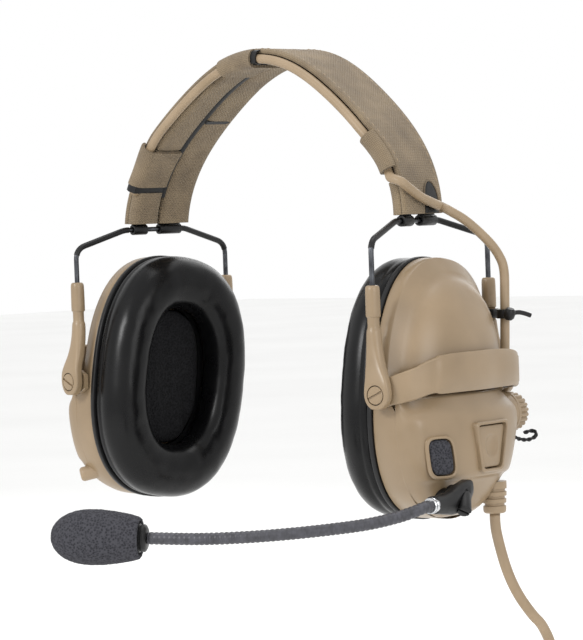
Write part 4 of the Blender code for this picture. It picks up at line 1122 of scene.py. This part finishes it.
class HEADSET_OT_module_details(Piece, bpy.types.Operator):
    """The push button, outside microphone, battery boss and cap, and the cap's tether"""

    bl_idname = "headset.module_details"
    bl_label = "Module details"

    def build(self, sizes):
        foam = self.microphone_foam()
        finish_piece(foam, "grey_foam", "right_cup", ["ambient_mic_foam"], None)
        finish_piece(self.button(), "tan_plastic", "push_button", ["push_button"], 40)
        rim = loft("button_frame", [
            keystone(edge, u) for edge, u in (
                (0.55, 25.0), (0.55, 27.1), (0.8, 27.4), (1.5, 27.35), (1.9, 26.9), (2.0, 25.0),
            )
        ], ring=True)
        finish_piece(rim, "tan_plastic", "right_cup")
        frame_rings = [window(edge, depth) for edge, depth in (
            (0.35, -1.5), (0.35, 0.5), (0.7, 0.75), (1.3, 0.6), (1.6, -0.6),
        )]
        lip = loft("microphone_window_lip", frame_rings, ring=True)
        finish_piece(lip, "tan_plastic", "right_cup")
        self.battery(sizes)

    def microphone_foam(self):
        rings = [window(0, -3), window(0, -0.4), window(-0.25, 0.1), window(-0.8, 0.45)]
        rings += [window(-e, 0.55 + 0.03 * e) for e in (1.8, 3.0, 4.2, 5.3)]
        foam = loft("ambient_mic_foam_plug", rings)
        subdivide(foam, 2)
        out = heading("right", 0.93, -0.36, 0)
        for vertex in foam.data.vertices:
            vertex.co += out * MM * 0.18 * noise.noise(vertex.co / MM * 1.4)
        return foam

    def button(self):
        """A keystone button with an oval dish in its face."""
        outline = keystone(0, 0)
        centre = place("right", 0, 0.9, -23.7)
        out = heading("right", 1, 0, 0)
        across, up = heading("right", 0, 1, 0), Vector((0, 0, 1))

        def ring(shrink, round_off, radius, u):
            made = []
            for point in outline:
                flat = point - centre
                v, z = flat.dot(across) / MM, flat.dot(up) / MM
                length = math.hypot(v, z)
                a = (v * shrink * (1 - round_off) + round_off * radius * v / length)
                b = (z * shrink * (1 - round_off) + round_off * radius * 1.05 * z / length)
                made.append(centre + (across * a + up * b + out * u) * MM)
            return made

        return loft("push_button_moulded", [
            ring(1, 0, 4, 22.4), ring(1, 0, 4, 25.8), ring(0.985, 0, 4, 26.15), ring(0.94, 0.02, 4, 26.4),
            ring(0.85, 0.2, 5, 26.45), ring(0.7, 0.75, 5.0, 26.5), ring(0.6, 1, 4.6, 26.5),
            ring(0.5, 1, 4.2, 26.25), ring(0.4, 1, 3.6, 25.8), ring(0.4, 1, 2.6, 25.45),
            ring(0.4, 1, 1.3, 25.3), ring(0.4, 1, 0.15, 25.3),
        ])

    def battery(self, sizes):
        base, axis = place("right", 10.5, 0, -12.8), heading("right", 0, 1, 0)
        profile = [
            (0, -12.3), (5.45, -12.3), (5.45, 35.5), (8.4, 35.5), (8.9, 35.3), (9.2, 34.8), (9.2, 33.6),
            (8.9, 33.3), (8.9, 32.7), (9.2, 32.4), (9.2, 26.8), (6.1, 26.8), (6.1, -13.5), (0, -13.5),
        ]
        tube = turned("battery_tube_moulded", profile, base, axis, 56)
        finish_piece(tube, "tan_plastic", "right_cup", ["battery_tube"], 30)
        turn = Vector((0, 0, 1)).rotation_difference(axis).to_matrix()
        rings = []
        for scale, v in (
            (0.93, 36.0), (0.97, 36.3), (1, 36.7), (1, 41.6), (0.97, 42.1), (0.9, 42.4), (0.62, 42.4),
            (0.58, 42.0), (0.3, 41.9), (0.03, 41.9),
        ):
            ring = []
            for i in range(sizes.cap_ribs * 6):
                angle = 2 * math.pi * i / (sizes.cap_ribs * 6)
                depth = 0.75 * (0.5 - 0.5 * math.cos(sizes.cap_ribs * angle)) ** 2 if scale > 0.8 else 0.4
                radius = (8.3 - depth) * scale
                spot = Vector((radius * math.cos(angle), radius * math.sin(angle), v))
                ring.append(base + turn @ spot * MM)
            rings.append(ring)
        finish_piece(loft("battery_cap_ribbed", rings), "tan_plastic", "battery_cap", ["battery_cap"], 25)
        cell = from_node("battery_cell_can", "battery_cell", 0.2)
        finish_piece(cell, "steel_wire", "right_cup", ["battery_cell"])
        route = [
            (13.4, 36.0, -22.9), (14.2, 40.5, -24.6), (16.2, 44.0, -25.2), (18.0, 46.8, -24.2),
            (18.2, 47.8, -22.4), (16.6, 46.8, -21.6), (14.8, 43.6, -22.2),
        ]
        line = smooth_path([place("right", *p) for p in route], 0.35)
        for strand in (0, 1):
            points = []
            for i, point in enumerate(line):
                ahead = (line[min(i + 1, len(line) - 1)] - line[max(i - 1, 0)]).normalized()
                a = ahead.orthogonal().normalized()
                angle = i * 0.42 + strand * math.pi
                points.append(point + (a * math.cos(angle) + ahead.cross(a) * math.sin(angle)) * 0.42 * MM)
            piece = pipe(f"cap_tether_strand_{strand}", points, 0.5, 10)
            finish_piece(piece, "black_plastic", "right_cup", ["cap_tether"])
        for node in ("circuit_board", "left_driver", "right_driver"):
            look = "board_green" if node == "circuit_board" else "black_plastic"
            body = "left_cup" if node == "left_driver" else "right_cup"
            finish_piece(from_node(node + "_inside", node, 0.2), look, body, [node])


class HEADSET_OT_boom(Piece, bpy.types.Operator):
    """The boom: bracket, elbow, clamp screw, ribbed sleeve, collar and foam windscreen"""

    bl_idname = "headset.boom"
    bl_label = "Boom microphone"

    def build(self, sizes):
        mount = turned("boom_mount_moulded", [
            (0, -8), (3.6, -8), (3.6, 0.6), (4.9, 0.6), (5.0, 0.8), (5.0, 2.6), (4.7, 3.0), (0, 3.1),
        ], place("right", 20.5, -22.0, -43.0), heading("right", 1, 0, 0), 40)
        finish_piece(mount, "black_plastic", "right_cup", ["boom_mount"])
        elbow = from_node("boom_elbow_moulded", "boom_elbow", 0)
        finish_piece(elbow, "black_plastic", "boom", ["boom_elbow"], 45)
        screw = from_node("thumb_screw_turned", "thumb_screw", 0.25)
        finish_piece(screw, "black_plastic", "thumb_screw", ["thumb_screw"])
        route = [
            (28.9, -46.0, -43.9), (29.0, -52.0, -44.1), (26.1, -56.7, -45.7), (23.0, -62.0, -47.1),
            (18.1, -70.9, -48.6), (11.9, -79.3, -49.6), (-1.1, -94.9, -50.7), (-15.5, -108.3, -51.4),
            (-31.7, -119.6, -51.6), (-49.9, -129.6, -50.9),
        ]
        coarse = smooth_path([place("right", *p) for p in route], count=34)
        line = smooth_path(coarse, 0.33)
        pitch = sizes.rib_pitch / MM

        def ribbed(gone):
            return 2.16 + 0.34 * abs(math.cos(math.pi * gone / pitch)) ** 0.7

        sleeve = pipe("gooseneck_ribbed", line, ribbed, 20)
        finish_piece(sleeve, "gooseneck", "boom", ["gooseneck"], None)
        start = (line[6] - line[0]).normalized()
        ferrule = turned("boom_ferrule", [
            (2.55, -0.6), (3.1, -0.6), (3.25, -0.2), (3.25, 1.0), (3.0, 1.3), (3.0, 1.7), (3.2, 2.0),
            (3.2, 2.8), (2.9, 3.1), (2.55, 3.1),
        ], line[0], start, 32)
        finish_piece(ferrule, "chrome", "boom")
        tip, ahead = coarse[-1], (coarse[-1] - coarse[-3]).normalized()
        collar = turned("mic_collar_moulded", [
            (0, 0), (4.3, 0), (4.6, 0.2), (5.2, 0.5), (5.5, 0.9), (5.5, 1.8), (5.1, 2.1), (5.1, 2.6),
            (5.8, 2.9), (5.9, 3.3), (5.7, 4.4), (5.2, 4.8), (3.4, 5.4), (0, 5.4),
        ], tip + ahead * 0.3 * MM, ahead, 40)
        finish_piece(collar, "black_plastic", "boom", ["mic_collar"])
        foam = turned("mic_windscreen_foam", [
            (6.5, 4.8), (6.5, 1.6), (7.4, 1.3), (8.2, 1.5), (8.8, 3.2), (9.4, 5.6), (9.9, 8.4), (10.4, 11.6),
            (10.8, 15.0), (11.05, 18.6), (11.1, 22.0), (10.8, 25.4), (10.1, 28.5), (9.0, 31.4), (7.3, 34.0),
            (5.4, 35.9), (3.4, 37.0), (1.6, 37.5), (0.2, 37.6),
        ], tip + ahead * 1.6 * MM, ahead, 56)
        subdivide(foam, 2)
        middle = tip + ahead * 20 * MM
        for vertex in foam.data.vertices:
            spot = vertex.co / MM
            pits = noise.noise(spot * 0.9) * 0.16 + noise.noise(spot * 2.6) * 0.1
            vertex.co += (vertex.co - middle).normalized() * pits * MM
        finish_piece(foam, "grey_foam", "boom", ["mic_windscreen"], None)


# Cables


class HEADSET_OT_crossover(Piece, bpy.types.Operator):
    """The cable from the left cup along the band and down behind the right stem, and its tie"""

    bl_idname = "headset.crossover"
    bl_label = "Crossover cable"

    def build(self, sizes):
        along = []
        for degrees in [*range(168, 21, -8), 20, 17.8, 16.4, 15.6, 14.8]:
            phi = math.radians(degrees)
            along.append(band_point(phi, front_edge(phi) - 0.4, 2.9))
        for a, y, h in (
            (13.2, -16.1, 4.5), (11.9, -17.0, 7.0), (10.4, -16.2, 9.6), (8.3, -11.2, 9.9), (6.1, -4.4, 9.9),
            (4.6, 3.1, 9.9), (3.3, 10.8, 9.9),
        ):
            along.append(band_point(math.radians(a), y, h))
        line = smooth_path(along, 1.6)
        cable = pipe("crossover_cable_jacket", line, 2.0, 20)
        finish_piece(cable, "tan_rubber", "headband", ["crossover_cable"], None)
        route = [
            (0.2, 13.0, 74.1), (4.6, 20.2, 69.0), (9.2, 28.6, 60.7), (11.2, 34.0, 54.1), (12.6, 35.6, 47.6),
            (13.0, 34.9, 35.0), (12.8, 34.4, 20.0), (12.4, 34.3, 8.0), (12.6, 34.2, 0.3),
        ]
        tail_line = [line[-1]] + smooth_path([place("right", *p) for p in route], 1.6)
        tail = pipe("crossover_tail_jacket", tail_line, 2.0, 20)
        finish_piece(tail, "tan_rubber", None, ["crossover_tail"], None)
        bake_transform(tail)
        tie = from_node("cable_tie_moulded", "cable_tie", 0.35, 60)
        finish_piece(tie, "black_plastic", "right_stems", ["cable_tie"])
        bead = turned("cable_tie_bead", [
            (0, -2.4), (1.6, -2.4), (2.3, -1.5), (2.5, 0), (2.3, 1.5), (1.6, 2.4), (0, 2.4),
        ], place("right", 16.9, 32.2, 29.1), heading("right", 0.35, -0.1, 1), 28)
        finish_piece(bead, "black_plastic", "right_stems")
        strip = pipe("cable_tie_tail", smooth_path([
            place("right", *point) for point in (
                (14.0, 37.6, 29.0), (16.0, 40.3, 29.4), (17.6, 42.8, 28.8), (19.0, 45.2, 27.8),
            )
        ], 0.8), 1.0, 12)
        finish_piece(strip, "black_plastic", "right_stems")


class HEADSET_OT_trailing_lead(Piece, bpy.types.Operator):
    """The trailing lead with its strain relief, its tied hank and its plug"""

    bl_idname = "headset.trailing_lead"
    bl_label = "Trailing lead"

    def build(self, sizes):
        relief = turned("strain_relief_ribbed", [
            (0, -13.4), (4.1, -13.4), (4.7, -12.9), (4.85, -11.9), (4.85, -10.4), (4.2, -10.2), (4.2, -9.3),
            (4.95, -9.1), (5.05, -7.4), (4.4, -7.2), (4.4, -6.3), (5.15, -6.1), (5.25, -4.4), (4.6, -4.2),
            (4.6, -3.3), (5.3, -3.1), (5.3, 0), (0, 0),
        ], place("right", 14.4, 19.8, -40.6), (0, 0, 1), 44)
        finish_piece(relief, "tan_rubber", "right_cup", ["strain_relief"], 30)
        route = [
            (14.4, 19.8, -54.3), (14.4, 19.8, -58.0), (14.9, 20.1, -63.3), (16.8, 22.0, -74.9),
            (18.8, 24.3, -83.6), (21.3, 27.1, -91.0), (24.3, 31.3, -98.3), (26.3, 34.5, -102.6),
            (27.9, 37.9, -110.0), (28.2, 39.3, -117.0),
        ]
        radius, run, pitch, turns = 6.95, 61.6, 4.7, 2.75
        lap = 2 * run + 2 * math.pi * radius
        middle = 28.2 - radius
        top = -117.0 - 9.2 * 0.8 - 1.3 - 1.84
        done = 0.0
        while done <= turns * lap:
            at = done % lap
            v = 39.3 + pitch * done / lap
            if at < run:
                u, z = radius, -at
            elif at < run + math.pi * radius:
                angle = (at - run) / radius
                u, z = radius * math.cos(angle), -run - radius * math.sin(angle)
            elif at < 2 * run + math.pi * radius:
                u, z = -radius, -run + (at - run - math.pi * radius)
            else:
                angle = (at - 2 * run - math.pi * radius) / radius
                u, z = -radius * math.cos(angle), radius * math.sin(angle)
            route.append((middle + u, v, top + z))
            done += 4.0
        v_end = 39.3 + pitch * turns
        plug_v = 39.3 + 6.9 + 9.2 + 10.4
        plug_z = top + 1.84 + 1.0
        route += [
            (middle - 6.4, v_end + 1.0, top + 5.0), (middle - 4.8, v_end + 4.0, top + 9.4),
            (middle - 2.4, plug_v - 5.0, top + 11.4), (middle - 0.6, plug_v - 1.2, top + 9.0),
            (middle, plug_v, plug_z + 3.0), (middle, plug_v, plug_z + 0.3),
        ]
        line = smooth_path([place("right", *p) for p in route], 1.5)
        lead = pipe("trailing_lead_jacket", line, 2.25, 18)
        finish_piece(lead, "tan_rubber", "right_cup", ["downlead", "downlead_hank"], None)
        tie = from_node("hank_tie_strap", "hank_tie", 0.3)
        finish_piece(tie, "black_plastic", "right_cup", ["hank_tie"])
        plug = turned("plug_moulded", [
            (0, 0), (2.6, 0), (2.9, -0.4), (3.0, -2), (2.7, -2.3), (2.8, -3.1), (3.2, -3.4), (3.3, -5),
            (3.0, -5.3), (3.1, -6.1), (3.6, -6.4), (3.8, -8), (7.0, -11.4), (7.6, -12.2), (7.7, -20),
            (7.3, -20.4), (7.3, -21.2), (7.7, -21.6), (7.8, -37.6), (7.3, -38.6), (6.6, -40), (0, -40),
        ], place("right", middle, plug_v, plug_z), (0, 0, 1), 44)
        finish_piece(plug, "black_plastic", "right_cup", ["plug"])
        contact = turned("plug_contact", [
            (0, -39.8), (3.55, -39.8), (3.55, -48), (3.3, -48.2), (3.3, -48.9), (3.55, -49.1), (3.55, -55.5),
            (3.3, -55.7), (3.3, -56.4), (3.55, -56.6), (3.55, -64), (2.2, -66), (3.2, -68),
            (2.2, -71), (0, -72),
        ], place("right", middle, plug_v, plug_z), (0, 0, 1), 36)
        finish_piece(contact, "chrome", "right_cup")


# Stage


class HEADSET_OT_stage(bpy.types.Operator):
    """Pale floor, soft studio lights and the camera"""

    bl_idname = "headset.stage"
    bl_label = "Stage"
    bl_options = {"REGISTER", "UNDO"}

    def execute(self, context):
        sizes = context.scene.headset_stage
        context.scene.view_settings.view_transform = "Standard"
        self.floor(sizes)
        self.lights(sizes)
        self.camera(context)
        return {"FINISHED"}

    def floor(self, sizes):
        bm = bmesh.new()
        bmesh.ops.create_grid(bm, x_segments=8, y_segments=8, size=6.0)
        for vertex in bm.verts:
            vertex.co.z = frame_bottom() - sizes.floor_gap
        floor = mesh_object("floor", bm)
        floor.data.materials.append(LOOKS["floor"])

    def lights(self, sizes):
        world = bpy.data.worlds.new("studio")
        bpy.context.scene.world = world
        world.use_nodes = True
        sky = world.node_tree.nodes["Background"]
        sky.inputs["Color"].default_value = linear("#FFFFFF")
        sky.inputs["Strength"].default_value = sizes.sky
        aim = Vector((0.01, -0.02, -0.12))
        rows = [
            ("key", (-0.1, -1.2, 0.45), 0.3, 1.3), ("side", (1.15, -0.35, 0.25), 0.6, 0.55),
            ("top", (0.1, 0.2, 1.0), 0.8, 0.7), ("back", (-0.5, 1.1, 0.5), 0.8, 0.5),
        ]
        for name, spot, size, share in rows:
            light = bpy.data.lights.new(name, "AREA")
            light.energy, light.size = sizes.light * share, size
            obj = bpy.data.objects.new(name, light)
            bpy.context.scene.collection.objects.link(obj)
            obj.location = spot
            obj.rotation_euler = (aim - Vector(spot)).to_track_quat("-Z", "Y").to_euler()

    def camera(self, context):
        azimuth, tilt, roll = math.radians(44.0972), math.radians(2.03994), math.radians(-2.08109)
        back = Vector((
            math.sin(azimuth) * math.cos(tilt), -math.cos(azimuth) * math.cos(tilt), math.sin(tilt)
        ))
        right = (-back).cross(Vector((0, 0, 1))).normalized()
        up = right.cross(-back)
        level, lift = right, up
        right = level * math.cos(roll) + lift * math.sin(roll)
        up = lift * math.cos(roll) - level * math.sin(roll)
        where = right * 1.9423 - up * 2.9175 + back * 1288.13 + Vector((3.4, -5.6, -108.1))
        lens = bpy.data.cameras.new("camera")
        lens.lens, lens.sensor_width, lens.sensor_fit = 165.73, 36, "AUTO"
        lens.clip_start, lens.clip_end = 0.05, 50
        camera = bpy.data.objects.new("camera", lens)
        context.scene.collection.objects.link(camera)
        turn = Matrix((right, up, back)).transposed().to_4x4()
        camera.matrix_world = Matrix.Translation(where * MM) @ turn
        context.scene.camera = camera


def frame_bottom():
    """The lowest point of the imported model."""
    return min(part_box(name)[0].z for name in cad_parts)


ORDER = (
    HEADSET_OT_stage, HEADSET_OT_crossover, HEADSET_OT_trailing_lead, HEADSET_OT_band_cover,
    HEADSET_OT_band_padding, HEADSET_OT_cable_loops, HEADSET_OT_yoke_wires, HEADSET_OT_stems,
    HEADSET_OT_cup_shells, HEADSET_OT_straps, HEADSET_OT_ear_seals, HEADSET_OT_left_port,
    HEADSET_OT_module_details, HEADSET_OT_boom,
)


class HEADSET_PT_pieces(bpy.types.Panel):
    """Lists the sizes and the pieces"""

    bl_idname = "HEADSET_PT_pieces"
    bl_label = "Radio headset"
    bl_space_type = "VIEW_3D"
    bl_region_type = "UI"
    bl_category = "Headset"

    def draw(self, context):
        for group in (context.scene.headset_sizes, context.scene.headset_stage):
            for name in group.bl_rna.properties.keys():
                if name not in ("rna_type", "name"):
                    self.layout.prop(group, name)
        for kind in ORDER:
            self.layout.operator(kind.bl_idname)


CLASSES = (HeadsetSizes, StageSizes, *ORDER, HEADSET_PT_pieces)


def register():
    for kind in CLASSES:
        bpy.utils.register_class(kind)
    bpy.types.Scene.headset_sizes = bpy.props.PointerProperty(type=HeadsetSizes)
    bpy.types.Scene.headset_stage = bpy.props.PointerProperty(type=StageSizes)


def unregister():
    del bpy.types.Scene.headset_stage
    del bpy.types.Scene.headset_sizes
    for kind in reversed(CLASSES):
        bpy.utils.unregister_class(kind)


def main():
    register()
    for kind in ORDER:
        area, name = kind.bl_idname.split(".")
        getattr(getattr(bpy.ops, area), name)()


if __name__ == "__main__":
    main()
